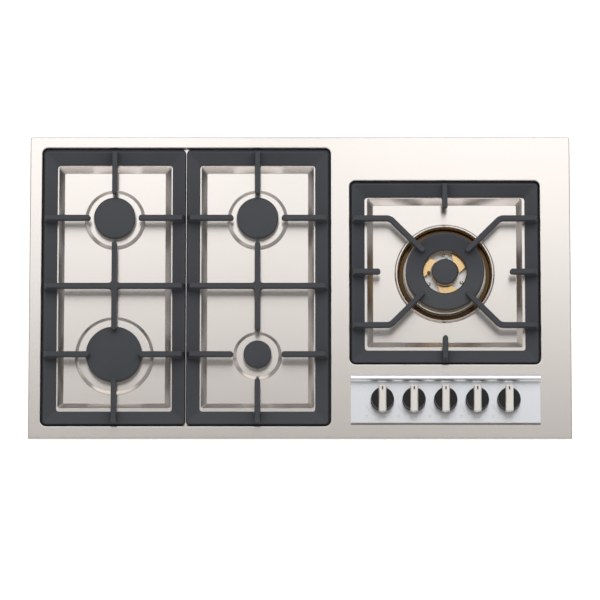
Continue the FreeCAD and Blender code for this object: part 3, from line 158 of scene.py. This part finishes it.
floor_material, tree, output = new_material("studio_floor")
light_path = tree.nodes.new("ShaderNodeLightPath")
seen = math_node(tree, "MAXIMUM", light_path.outputs["Is Camera Ray"], light_path.outputs["Is Glossy Ray"])
seen = math_node(tree, "MAXIMUM", seen, light_path.outputs["Is Transmission Ray"])
paint = tree.nodes.new("ShaderNodeBsdfDiffuse")
paint.inputs["Color"].default_value = FLOOR_PAINT
glow = tree.nodes.new("ShaderNodeEmission")
tree.links.new(math_node(tree, "MULTIPLY", seen, FLOOR_GLOW), glow.inputs["Strength"])
both = tree.nodes.new("ShaderNodeAddShader")
tree.links.new(paint.outputs[0], both.inputs[0])
tree.links.new(glow.outputs[0], both.inputs[1])
tree.links.new(both.outputs[0], output.inputs["Surface"])

floor_mesh = bpy.data.meshes.new("studio_floor")
corners = [(u * FLOOR_HALF, v * FLOOR_HALF, FLOOR_Z) for u, v in ((-1, -1), (1, -1), (1, 1), (-1, 1))]
floor_mesh.from_pydata(corners, [], [(0, 1, 2, 3)])
floor_mesh.materials.append(floor_material)
floor = bpy.data.objects.new("studio_floor", floor_mesh)
bpy.context.scene.collection.objects.link(floor)
print("floor laid", 2 * FLOOR_HALF, "m square")

# %% [markdown]
# ## Brushing, a shared effect
#
# Sheet steel and the aluminium fascia are brushed: a belt draws long fine scratches along the width.
# Each scratch scatters light a little differently, so the effect is one noise stretched far along the
# brushing, which is used for shade, for roughness and for a very small height. Fine scratches lie on
# broader bands, and slow clouds vary how dull the belt left the sheet. It is a node group, because
# all the sheet, drawn and turned metals use it, each with its own values.

# %% Build the brushing group
def new_group(name, inputs, outputs):
    group = bpy.data.node_groups.new(name, "ShaderNodeTree")
    for label, kind, value in inputs:
        socket = group.interface.new_socket(label, in_out="INPUT", socket_type=kind)
        if value is not None:
            socket.default_value = value
    for label, kind in outputs:
        group.interface.new_socket(label, in_out="OUTPUT", socket_type=kind)
    return group, group.nodes.new("NodeGroupInput"), group.nodes.new("NodeGroupOutput")


def vector_scale(tree, vector, scale):
    node = tree.nodes.new("ShaderNodeVectorMath")
    node.operation = "MULTIPLY"
    tree.links.new(vector, node.inputs[0])
    if isinstance(scale, tuple):
        node.inputs[1].default_value = scale
    else:
        tree.links.new(scale, node.inputs[1])
    return node.outputs[0]


def noise(tree, vector, scale, detail=2.0, roughness=0.5):
    node = tree.nodes.new("ShaderNodeTexNoise")
    tree.links.new(vector, node.inputs["Vector"])
    node.inputs["Scale"].default_value = scale
    node.inputs["Detail"].default_value = detail
    node.inputs["Roughness"].default_value = roughness
    return node.outputs["Fac"]


def spread(tree, value, low, high):
    """Maps the middle of a noise, 0.3 to 0.7, to low..high."""
    node = tree.nodes.new("ShaderNodeMapRange")
    tree.links.new(value, node.inputs["Value"])
    node.inputs["From Min"].default_value = 0.3
    node.inputs["From Max"].default_value = 0.7
    for label, bound in (("To Min", low), ("To Max", high)):
        if isinstance(bound, (int, float)):
            node.inputs[label].default_value = bound
        else:
            tree.links.new(bound, node.inputs[label])
    return node.outputs["Result"]


def two_noises(tree, first, share, second):
    """A share of the first noise, and the rest of the second."""
    return math_node(tree, "ADD", math_node(tree, "MULTIPLY", first, share),
                     math_node(tree, "MULTIPLY", second, 1.0 - share))


def mixed(tree, factor, a, b):
    node = tree.nodes.new("ShaderNodeMix")
    node.data_type = "RGBA"
    for socket, value in zip((node.inputs[0], node.inputs[6], node.inputs[7]), (factor, a, b)):
        if isinstance(value, (int, float, tuple)):
            socket.default_value = value
        else:
            tree.links.new(value, socket)
    return node.outputs[2]


SURFACE = [("Color", "NodeSocketColor"), ("Roughness", "NodeSocketFloat"), ("Height", "NodeSocketFloat")]


def put_out(tree, group_out, *values):
    """Links a group's three results to its outputs."""
    for value, (label, kind) in zip(values, SURFACE):
        tree.links.new(value, group_out.inputs[label])


brushing, group_in, group_out = new_group(
    "brushing",
    [("Direction", "NodeSocketVector", (1.0, 60.0, 60.0)), ("Dark", "NodeSocketColor", (0.5, 0.5, 0.5, 1)),
     ("Light", "NodeSocketColor", (0.8, 0.8, 0.8, 1)), ("Smooth", "NodeSocketFloat", 0.2),
     ("Rough", "NodeSocketFloat", 0.35)],
    SURFACE)
place = brushing.nodes.new("ShaderNodeTexCoord")
along = vector_scale(brushing, place.outputs["Object"], group_in.outputs["Direction"])
fine = noise(brushing, along, 60.0, 4.0, 0.7)
broad = noise(brushing, along, 7.0, 2.0)
clouds = noise(brushing, place.outputs["Object"], 5.0, 2.0)
lines = two_noises(brushing, fine, 0.6, broad)
tone = mixed(brushing, spread(brushing, lines, 0.0, 1.0), group_in.outputs["Dark"], group_in.outputs["Light"])
dullness = spread(brushing, two_noises(brushing, lines, 0.7, clouds), group_in.outputs["Smooth"],
                  group_in.outputs["Rough"])
put_out(brushing, group_out, tone, dullness, fine)
print("group:", brushing.name, [s.name for s in brushing.interface.items_tree])

# %% [markdown]
# ## Grain, a second shared effect
#
# Castings, enamel and moulded plastic aren't quite smooth: they have a fine pebbled skin, and their
# shade drifts slowly over the surface. One fine and one slow noise give both.

# %% Build the grain group
grain, group_in, group_out = new_group(
    "grain",
    [("Scale", "NodeSocketFloat", 900.0), ("Dark", "NodeSocketColor", (0.05, 0.05, 0.05, 1)),
     ("Light", "NodeSocketColor", (0.09, 0.09, 0.09, 1)), ("Smooth", "NodeSocketFloat", 0.35),
     ("Rough", "NodeSocketFloat", 0.5)],
    SURFACE)
place = grain.nodes.new("ShaderNodeTexCoord")
pebbles_node = grain.nodes.new("ShaderNodeTexNoise")
grain.links.new(place.outputs["Object"], pebbles_node.inputs["Vector"])
grain.links.new(group_in.outputs["Scale"], pebbles_node.inputs["Scale"])
pebbles_node.inputs["Detail"].default_value = 3.0
pebbles = pebbles_node.outputs["Fac"]
drift = noise(grain, place.outputs["Object"], 14.0, 3.0)
shade = two_noises(grain, pebbles, 0.55, drift)
tone = mixed(grain, spread(grain, shade, 0.0, 1.0), group_in.outputs["Dark"], group_in.outputs["Light"])
dullness = spread(grain, shade, group_in.outputs["Smooth"], group_in.outputs["Rough"])
put_out(grain, group_out, tone, dullness, pebbles)
print("group:", grain.name, [s.name for s in grain.interface.items_tree])

# %% [markdown]
# ## One helper for every finish
#
# A finish is a Principled shader with one of the two groups in front of it. Values that are the same
# all over the surface, such as metalness or coat, are set on the shader itself. Four things are left
# to choose. `edge_mm` rounds the look of sharp edges, as casting and polishing do. `blur` is the
# direction across the brushing, in which fine scratches smear a reflection. Along the scratches it
# stays crisp, which is why a finger that lies across them shows as a clear dark bar in the steel.
# `satin_from` is a height from which a blasted part is duller, and `shade_below` one under which the colour
# is painted shade, darkening a hollow. Both could be masks that are painted by hand, but a height is exact.

# %% Write the finish helper
HEIGHT_BLEND = 0.002
SATIN_GAIN = 0.42                   # roughness that blasting adds
PAINTED_SHADE_SHARE = 0.22                   # of the metal's dark shade that the painted shade keeps
SMEAR_STRENGTH = 0.8
BEVEL_SAMPLES = 4


def by_height(tree, height, low, high):
    """Goes from low to high over the two millimetres above a height in metres."""
    place = tree.nodes.new("ShaderNodeTexCoord")
    parts = tree.nodes.new("ShaderNodeSeparateXYZ")
    tree.links.new(place.outputs["Object"], parts.inputs[0])
    ramp = tree.nodes.new("ShaderNodeMapRange")
    tree.links.new(parts.outputs["Z"], ramp.inputs["Value"])
    for label, bound in (("From Min", height), ("From Max", height + HEIGHT_BLEND), ("To Min", low),
                         ("To Max", high)):
        ramp.inputs[label].default_value = bound
    return ramp.outputs["Result"]


def finish(name, group, dark, light, smooth, rough, bump, bump_mm, metallic=0.0, edge_mm=0.0, blur=None,
           satin_from=None, shade_below=None, **shader_values):
    """Makes a material; other values go to the group's input or the shader's socket of that name."""
    material, tree, output = new_material(name)
    effect = tree.nodes.new("ShaderNodeGroup")
    effect.node_tree = group
    effect.inputs["Dark"].default_value = (*dark, 1.0)
    effect.inputs["Light"].default_value = (*light, 1.0)
    effect.inputs["Smooth"].default_value = smooth
    effect.inputs["Rough"].default_value = rough
    shader = tree.nodes.new("ShaderNodeBsdfPrincipled")
    shader.inputs["Metallic"].default_value = metallic
    for label, value in shader_values.items():
        key = label.replace("_", " ")
        if key in effect.inputs:
            effect.inputs[key].default_value = value
        else:
            shader.inputs[key].default_value = value
    relief = tree.nodes.new("ShaderNodeBump")
    relief.inputs["Strength"].default_value = bump
    relief.inputs["Distance"].default_value = bump_mm / 1000
    if edge_mm:
        worn = tree.nodes.new("ShaderNodeBevel")
        worn.samples = BEVEL_SAMPLES
        worn.inputs["Radius"].default_value = edge_mm / 1000
        tree.links.new(worn.outputs["Normal"], relief.inputs["Normal"])
    if blur:
        direction = tree.nodes.new("ShaderNodeCombineXYZ")
        for socket, value in zip(direction.inputs, blur):
            socket.default_value = value
        tree.links.new(direction.outputs[0], shader.inputs["Tangent"])
        shader.inputs["Anisotropic"].default_value = SMEAR_STRENGTH
    colour = effect.outputs["Color"]
    # Under the height the colour is painted shade: a darker copy of the metal's dark tone.
    if shade_below:
        painted_shade = (*(PAINTED_SHADE_SHARE * c for c in dark), 1.0)
        colour = mixed(tree, by_height(tree, shade_below, 0.0, 1.0), painted_shade, colour)
    tree.links.new(colour, shader.inputs["Base Color"])
    roughness = effect.outputs["Roughness"]
    if satin_from:
        roughness = math_node(tree, "ADD", roughness, by_height(tree, satin_from, 0.0, SATIN_GAIN))
    tree.links.new(roughness, shader.inputs["Roughness"])
    tree.links.new(effect.outputs["Height"], relief.inputs["Height"])
    tree.links.new(relief.outputs["Normal"], shader.inputs["Normal"])
    tree.links.new(shader.outputs[0], output.inputs["Surface"])
    return material


def dress(material, *names):
    for name in names:
        slots = nodes[name].data.materials
        if len(slots) == 0:
            slots.append(material)
        for i in range(len(slots)):
            slots[i] = material
    print(material.name, "on", ", ".join(names))


# %% [markdown]
# ## Steel sheet
#
# The panel is stainless steel, brushed along its width: warm, pale and satin. The tray, the rails
# and the clamps under it are zinc-coated, duller and bluer. Screws, spindles and the gas rail are
# turned or drawn. An even shade would do for the parts under the panel, but all of them are seen in
# the model's other views, so each has the finish of the real piece.

# %% Dress the steel
ACROSS = (1.0, 55.0, 55.0)
SMEAR = (0.05, 1.0, 0.1)
STAINLESS = ((0.79, 0.75, 0.72), (0.82, 0.78, 0.75), 0.22, 0.25, 0.004, 0.01, 1.0)
panel_steel = finish("panel_steel", brushing, *STAINLESS, edge_mm=1.4, blur=SMEAR, Direction=ACROSS)
dress(panel_steel, "top_panel")
zinc_steel = finish("zinc_steel", grain, (0.42, 0.43, 0.44), (0.56, 0.57, 0.58), 0.32, 0.48, 0.15, 0.02, 1.0,
                    Scale=260.0)
dress(zinc_steel, "bottom_tray", "fixing_clamps", "support_rails")
turned_steel = finish("turned_steel", brushing, (0.5, 0.5, 0.5), (0.66, 0.66, 0.66), 0.2, 0.34, 0.1, 0.02,
                      1.0, Direction=(60.0, 60.0, 1.0))
dress(turned_steel, "fixing_screws", "gas_manifold", *("spindle_%d" % i for i in range(1, 6)))

# %% [markdown]
# ## Aluminium
#
# The fascia is anodised, finer and bluer than the steel beside it, and its heat guard is blasted to a
# duller satin. The burner crowns and cups are castings, with a sandy skin. The wok burner's body is painted
# paler than they are, as painted light that lifts it out of the shade in its hollow. The gas pipes are drawn.
# The grips on the knobs are satin and a little warm.

# %% Dress the aluminium
fascia_aluminium = finish("fascia_aluminium", brushing, (0.91, 0.94, 0.99), (0.94, 0.96, 1.0), 0.30, 0.34,
                          0.004, 0.01, 1.0, edge_mm=0.5, blur=SMEAR, satin_from=deck + 0.0035,
                          Direction=(1.2, 90.0, 90.0))
dress(fascia_aluminium, "control_plate")
cast_aluminium = finish("cast_aluminium", grain, (0.52, 0.52, 0.52), (0.70, 0.70, 0.70), 0.3, 0.45, 0.25,
                        0.05, 1.0, Scale=700.0)
dress(cast_aluminium, "burner_cups", "rear_left_crown", "rear_centre_crown", "front_left_crown",
      "front_centre_crown")
# Painted light: the wok burner's body is paler than the other castings, to stand out of the shade in its
# hollow.
painted_light_aluminium = finish("painted_light_aluminium", grain, (0.80, 0.79, 0.78), (0.90, 0.89, 0.88), 0.34, 0.46,
                            0.1, 0.03, 1.0, Scale=700.0)
dress(painted_light_aluminium, "wok_cup")
drawn_aluminium = finish("drawn_aluminium", brushing, (0.6, 0.6, 0.61), (0.75, 0.75, 0.76), 0.22, 0.34, 0.08,
                         0.01, 1.0, Direction=(8.0, 8.0, 60.0))
dress(drawn_aluminium, "gas_pipes")
grip_metal = finish("grip_metal", brushing, (0.95, 0.92, 0.88), (0.98, 0.95, 0.91), 0.36, 0.42, 0.02, 0.01,
                    1.0, edge_mm=0.5, blur=SMEAR, Direction=(60.0, 2.0, 60.0))
dress(grip_metal, *("knob_bar_%d" % i for i in range(1, 6)))

# %% [markdown]
# ## Brass
#
# The wok burner's crowns are turned brass, pale where they are machined. The dish round them is browned by
# heat and darker still as painted shade, darkest on its floor. The taps, jets and inlet are the same metal
# without the heat or the painted shade. One brass could serve for all, but then the flame's colours would be
# lost.

# %% Dress the brass
DISH_SHADE = 0.0035                 # from the dish's underside to where the painted shade ends
# The dish's colour is heat browning with painted shade over it; under DISH_SHADE it is darker painted shade.
browned_shaded_brass = finish("browned_shaded_brass", grain, (0.42, 0.26, 0.12), (0.60, 0.39, 0.19), 0.20, 0.32, 0.1, 0.02,
                       1.0, shade_below=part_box("wok_dish")[0].z + DISH_SHADE, Scale=500.0)
dress(browned_shaded_brass, "wok_dish")
burner_brass = finish("burner_brass", grain, (0.60, 0.40, 0.19), (0.80, 0.58, 0.31), 0.16, 0.28, 0.1, 0.02,
                      1.0, Scale=500.0)
dress(burner_brass, "wok_outer_crown", "wok_inner_crown")
plain_brass = finish("plain_brass", grain, (0.70, 0.50, 0.22), (0.84, 0.63, 0.32), 0.2, 0.34, 0.08, 0.02, 1.0,
                     Scale=400.0)
dress(plain_brass, "gas_inlet", "tap_bodies", "injectors", "thermocouples",
      *("tap_plug_%d" % i for i in range(1, 6)))

# %% [markdown]
# ## Cast iron and enamel
#
# The pan supports are cast iron under a satin enamel, dark grey with a fine tooth. The caps have the
# same enamel, a little bluer and smoother. The tooth could be modelled, but at this size only the
# way in which it scatters light can be seen.

# %% Dress the supports and the caps
support_iron = finish("support_iron", grain, (0.053, 0.058, 0.070), (0.077, 0.084, 0.100), 0.48, 0.60, 0.3,
                      0.06, edge_mm=1.0, Scale=1300.0, Specular_IOR_Level=0.5)
dress(support_iron, "left_support", "centre_support", "wok_support")
cap_enamel = finish("cap_enamel", grain, (0.047, 0.051, 0.062), (0.066, 0.072, 0.085), 0.36, 0.46, 0.2, 0.04,
                    edge_mm=0.8, Scale=1700.0, Specular_IOR_Level=0.5)
dress(cap_enamel, "rear_left_cap", "rear_centre_cap", "front_centre_cap", "front_left_cap", "wok_ring_cap",
      "wok_centre_cap")

# %% [markdown]
# ## Plastic, rubber and ceramic
#
# The knobs are moulded in black plastic, nearly as dark as the slot in their grips. The electrical
# parts are of a duller plastic, the feet and the seal of soft rubber, and the spark plugs of glazed
# white ceramic. Their red leads are silicone. All of these are even materials, so a fine grain and a
# slow drift of the shade are enough.

# %% Dress the rest
knob_plastic = finish("knob_plastic", grain, (0.010, 0.010, 0.011), (0.018, 0.018, 0.020), 0.3, 0.42, 0.1,
                      0.02, edge_mm=0.5, Scale=1500.0, Specular_IOR_Level=0.35)
dress(knob_plastic, *("knob_%d" % i for i in range(1, 6)))
dull_plastic = finish("dull_plastic", grain, (0.02, 0.02, 0.021), (0.04, 0.04, 0.042), 0.45, 0.6, 0.2, 0.04,
                      Scale=900.0)
dress(dull_plastic, "ignition_module", "terminal_block", "cable_gland")
soft_rubber = finish("soft_rubber", grain, (0.016, 0.016, 0.016), (0.032, 0.032, 0.032), 0.6, 0.8, 0.3, 0.05,
                     Scale=600.0)
dress(soft_rubber, "worktop_seal", "left_support_feet", "centre_support_feet", "wok_support_feet")
white_ceramic = finish("white_ceramic", grain, (0.74, 0.72, 0.67), (0.86, 0.85, 0.81), 0.16, 0.26, 0.05, 0.01,
                       Scale=500.0, Coat_Weight=0.4)
dress(white_ceramic, "spark_plugs")
red_silicone = finish("red_silicone", grain, (0.38, 0.03, 0.02), (0.5, 0.05, 0.035), 0.4, 0.55, 0.1, 0.02,
                      Scale=700.0)
dress(red_silicone, "ignition_leads")

# %% [markdown]
# ## Helpers for the small pieces
#
# What is too small or too thin for the solids is added here: printed marks, inlays, screws, a ceramic
# collar and the pressed rings round the burners. Most of them are turned, so one helper spins a
# profile of radius and height about an upright axis. Another lays flat shapes on a surface. A screw
# modifier could spin the profile too, but a few loops show exactly which points make which face.

# %% Write the helpers
def add_piece(name, points, faces, material, body):
    """Makes a piece from points in metres, and lets it ride on a body."""
    mesh = bpy.data.meshes.new(name)
    mesh.from_pydata(points, [], faces)
    mesh.validate()
    mesh.materials.append(material)
    piece = bpy.data.objects.new(name, mesh)
    bpy.context.scene.collection.objects.link(piece)
    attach(piece, body)


def round_point(centre, radius, angle):
    """A point at a radius in millimetres and an angle in radians about a centre in metres."""
    return centre[0] + radius / 1000 * math.cos(angle), centre[1] + radius / 1000 * math.sin(angle)


def spun(name, profile, centre, material, body, steps=96):
    """Closed profile of (radius, height) in millimetres, turned about the upright axis at centre."""
    count = len(profile)
    points = []
    for i in range(steps):
        angle = 2 * math.pi * i / steps
        points += [(*round_point(centre, r, angle), z / 1000) for r, z in profile]
    faces = []
    for i in range(steps):
        here, there = i * count, (i + 1) % steps * count
        faces += [(here + k, there + k, there + (k + 1) % count, here + (k + 1) % count)
                  for k in range(count)]
    add_piece(name, points, faces, material, body)


def flat_arc(centre, r0, r1, start, end, z, steps):
    """Points and faces of a flat arc; angles in degrees, radii in millimetres."""
    points = []
    for i in range(steps + 1):
        angle = math.radians(start + (end - start) * i / steps)
        points += [(*round_point(centre, r, angle), z) for r in (r0, r1)]
    return points, [(2 * i, 2 * i + 1, 2 * i + 3, 2 * i + 2) for i in range(steps)]


def middle(name):
    low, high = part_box(name)
    return (low + high) / 2


deck_mm = deck * 1000
print("deck at", round(deck_mm, 2), "mm")

# %% [markdown]
# ## Pressed rings round the small burners
#
# Each small burner stands in a low, flat-topped ring that is pressed from thin stainless and keeps
# spills away from the flame. Its sloping rim catches the light differently all the way round: dark on
# the right, pale towards the front. It clears the crown, so the crown still lifts out. A polished rim
# on the crown's flame shelf shows as a thin bright line under the cap. The wok burner's recess has a
# narrow ring of its own, rolled over the edge of its hole.

# %% Press the rings
RING_RISE = 4.0                     # millimetres, as all sizes of spun pieces
RING_SLOPE = 5.2
RING_SHEET = 0.7
SHEET_GAP = 0.05                    # from the panel, so that no two faces lie in one plane
CAP_LAP = 1.3                       # how far a cap reaches over its ring
WELL_DEPTH = 16.0                   # from the deck to the floor of a well
RIM_TOP = 3.95                      # from the deck down to the flame rim
RIM_SHEET = 0.8
well_mm = deck_mm - WELL_DEPTH
seats = {"rear_left": 49.8, "rear_centre": 49.8, "front_left": 65.0, "front_centre": 40.0}     # radii
ring_steel = finish("ring_steel", brushing, *STAINLESS, edge_mm=1.0, blur=SMEAR, Direction=ACROSS)
for place, seat in seats.items():
    cap_low, cap_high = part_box(place + "_cap")
    inner = (cap_high.x - cap_low.x) * 500 - CAP_LAP
    bottom, top, slope_top = well_mm + SHEET_GAP, well_mm + RING_RISE, seat - RING_SLOPE
    spun("burner_ring_" + place,
         [(seat + 0.5, bottom), (seat, bottom + 0.3), (slope_top, top), (inner, top),
          (inner, top - RING_SHEET), (slope_top, top - RING_SHEET), (seat - 0.4, bottom)],
         middle(place + "_cap"), ring_steel, "hob")
    rim_in, rim_out, rim_top = inner - 1.9, inner + 2.1, deck_mm - RIM_TOP
    spun("flame_rim_" + place,
         [(rim_in, rim_top - RIM_SHEET), (rim_out, rim_top - RIM_SHEET),
          (rim_out + 0.4, rim_top - RIM_SHEET / 2), (rim_out, rim_top), (rim_in, rim_top)],
         middle(place + "_cap"), ring_steel, place + "_crown")
rolled = [(83.2, 0.05), (82.7, 0.4), (81.0, 2.6), (79.5, 2.9), (78.3, 2.2), (77.8, -0.3), (78.5, -0.3),
          (79.3, 1.5), (80.2, 1.8), (82.0, 0.05)]       # radius, and height over the well
spun("burner_ring_wok", [(r, well_mm + z) for r, z in rolled], middle("wok_dish"), ring_steel, "hob", 160)
print("rings and flame rims:", ", ".join(seats), "and wok")

# %% [markdown]
# ## Index inlays
#
# A slot is cut into the end of each grip, and black lacquer fills it. The lacquer lies a little under
# the metal, so the slot keeps a crisp edge. A dark patch in the grip's material could stand for it,
# but a piece of its own stays sharp from close by.

# %% Fill the index slots
INLAY_FAR, INLAY_NEAR = 0.0023, 0.0076      # ends of the slot, from the grip's far end
INLAY_HALF = 0.00098                        # half its width
INLAY_TOP, INLAY_BOTTOM = 0.0006, 0.00235   # below the grip's top
INLAY_STEPS = 8                             # in each round end
for i in range(1, 6):
    low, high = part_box("knob_bar_%d" % i)
    x = (low.x + high.x) / 2
    edge = []
    for y, start in ((high.y - INLAY_FAR - INLAY_HALF, 0), (high.y - INLAY_NEAR + INLAY_HALF, 180)):
        for k in range(INLAY_STEPS + 1):
            angle = math.radians(start + 180 * k / INLAY_STEPS)
            edge.append((x + INLAY_HALF * math.cos(angle), y + INLAY_HALF * math.sin(angle)))
    count = len(edge)
    points = [(*p, high.z - depth) for depth in (INLAY_TOP, INLAY_BOTTOM) for p in edge]
    faces = [tuple(range(count)), tuple(range(2 * count - 1, count - 1, -1))]
    faces += [(k, k + count, (k + 1) % count + count, (k + 1) % count) for k in range(count)]
    add_piece("index_inlay_%d" % i, points, faces, knob_plastic, "control_%d" % i)
print("inlays: 5")

# %% [markdown]
# ## Marks on the fascia
#
# The fascia carries faint printed marks: beside each knob an arc for the flame's range, with three
# small rings on the same circle, and in the corner four dots that stand for the burners. They are
# only a little darker than the metal, and plain, with no letters. Ink is far thinner than a solid may
# be, so the marks are flat shapes that lie just over the plate.

# %% Print the marks
PLATE_SHEET = 0.002
INK_GAP = 0.00004                   # over the plate, so that the two don't flicker
MARK_REACH = 27.6                   # millimetres from the knob's axis
RINGS = [(178.0, 0.7), (165.0, 0.45), (292.0, 0.45)]    # degrees, radius
DOTS_X, DOTS_Y, DOTS_APART = -26.0, -27.0, 1.3
mark_ink = finish("mark_ink", grain, (0.66, 0.66, 0.66), (0.70, 0.70, 0.69), 0.5, 0.6, 0.0, 0.01, Scale=800.0)
plate_top = deck + PLATE_SHEET + INK_GAP
for i in range(1, 6):
    knob_axis = middle("knob_%d" % i)
    marks = [flat_arc(knob_axis, 27.3, 27.8, 196.0, 244.0, plate_top, 24)]
    for degrees, radius in RINGS:
        spot = round_point(knob_axis, MARK_REACH, math.radians(degrees))
        marks.append(flat_arc(spot, radius * 0.45, radius, 0.0, 360.0, plate_top, 16))
    for u in (-1, 1):
        for v in (-1, 1):
            spot = (knob_axis.x + (DOTS_X + DOTS_APART * u) / 1000,
                    knob_axis.y + (DOTS_Y + DOTS_APART * v) / 1000)
            marks.append(flat_arc(spot, 0.0, 0.75, 0.0, 360.0, plate_top, 12))
    points, faces = [], []
    for some_points, some_faces in marks:
        faces += [tuple(k + len(points) for k in face) for face in some_faces]
        points += some_points
    add_piece("fascia_marks_%d" % i, points, faces, mark_ink, "hob")
print("marks: 5 sets")

# %% [markdown]
# ## Bead and hem along the fascia
#
# A dark grey bead lies along the joint between the fascia's front edge and the deck. It is painted shade:
# a dark piece that stands for the thin brown line of shade at that joint. The guard behind the knobs ends in
# a folded hem, whose top leans back and catches the light as a pale band. Both are one small section drawn
# out along the fascia, so one helper makes them. Its section runs anticlockwise, seen from the right, so that
# all faces look out.

# %% Lay the bead and fold the hem
def drawn_out(name, section, x0, x1, material):
    """Section of (y, z) points in metres, drawn out along X and closed at both ends."""
    count = len(section)
    points = [(x, y, z) for x in (x0, x1) for y, z in section]
    faces = [(k, (k + 1) % count, (k + 1) % count + count, k + count) for k in range(count)]
    faces += [tuple(range(count - 1, -1, -1)), tuple(range(count, 2 * count))]
    add_piece(name, points, faces, material, "hob")


BEAD = 0.0017                       # radius
BEAD_GAP = 0.00003
BEAD_STEPS = 5
GUARD_SHEET = 0.0019
plate_low, plate_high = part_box("control_plate")
foot = deck + BEAD_GAP
bead = []
for k in range(BEAD_STEPS, -1, -1):
    angle = math.radians(90.0 * k / BEAD_STEPS)
    bead.append((plate_low.y - BEAD * math.cos(angle), foot + BEAD * math.sin(angle)))
bead.append((plate_low.y, foot))
# Painted shade: a dark bead that stands for the line of shade along the fascia's front edge.
shade_bead_paint = finish("shade_bead_paint", grain, (0.27, 0.24, 0.22), (0.33, 0.30, 0.28), 0.5, 0.65, 0.05, 0.02, Scale=500.0)
drawn_out("fascia_shade_bead", bead, plate_low.x, plate_high.x, shade_bead_paint)

hem_aluminium = finish("hem_aluminium", brushing, (0.90, 0.91, 0.95), (0.93, 0.94, 0.97), 0.22, 0.26, 0.004,
                       0.01, 1.0, edge_mm=0.4, blur=SMEAR, Direction=(1.2, 90.0, 90.0))
guard_front, guard_top = plate_high.y - GUARD_SHEET, plate_high.z
hem = [(0.1, -0.3), (-0.5, -0.15), (-4.4, 0.35), (-5.1, 0.1), (-5.2, -0.5), (-4.4, -0.7), (-1.0, -1.1),
       (-0.1, -1.4)]                # millimetres behind and over the guard's upper front edge
drawn_out("guard_hem", [(guard_front + y / 1000, guard_top + z / 1000) for y, z in hem],
          plate_low.x, plate_high.x, hem_aluminium)
print("bead and hem:", round((plate_high.x - plate_low.x) * 1000), "mm")

# %% [markdown]
# ## Small pieces in the wok burner
#
# The spark plug has a white ceramic collar near its tip, and three screws hold the burner's body.
# Both are turned pieces: the screw's head is domed, with a round socket in its middle.

# %% Add the collar and the screws
SPARK_X, SPARK_Y = 0.0026, 0.0256   # from the burner's axis
HUB_DEPTH = 19.0                    # from the deck to the burner's floor
SCREW_CIRCLE = 31.5
SCREW_START = -27.0                 # degrees
wok_axis = middle("wok_centre_cap")
collar = [(0.9, -4.6), (2.9, -4.6), (3.0, -0.8), (2.6, -0.1), (1.5, 0.2), (0.9, -0.2)]
spun("spark_collar", [(r, deck_mm + z) for r, z in collar], (wok_axis.x + SPARK_X, wok_axis.y + SPARK_Y),
     white_ceramic, "hob", 48)
floor_mm = deck_mm - HUB_DEPTH
head = [(0.0, 0.0), (3.1, 0.0), (3.1, 0.9), (2.5, 1.7), (1.3, 2.0), (1.3, 1.0), (0.0, 1.0)]
for i in range(3):
    spot = round_point(wok_axis, SCREW_CIRCLE, math.radians(SCREW_START + 120.0 * i))
    spun("hub_screw_%d" % (i + 1), [(r, floor_mm + z) for r, z in head], spot, turned_steel, "hob", 32)
print("wok burner: collar and 3 screws")
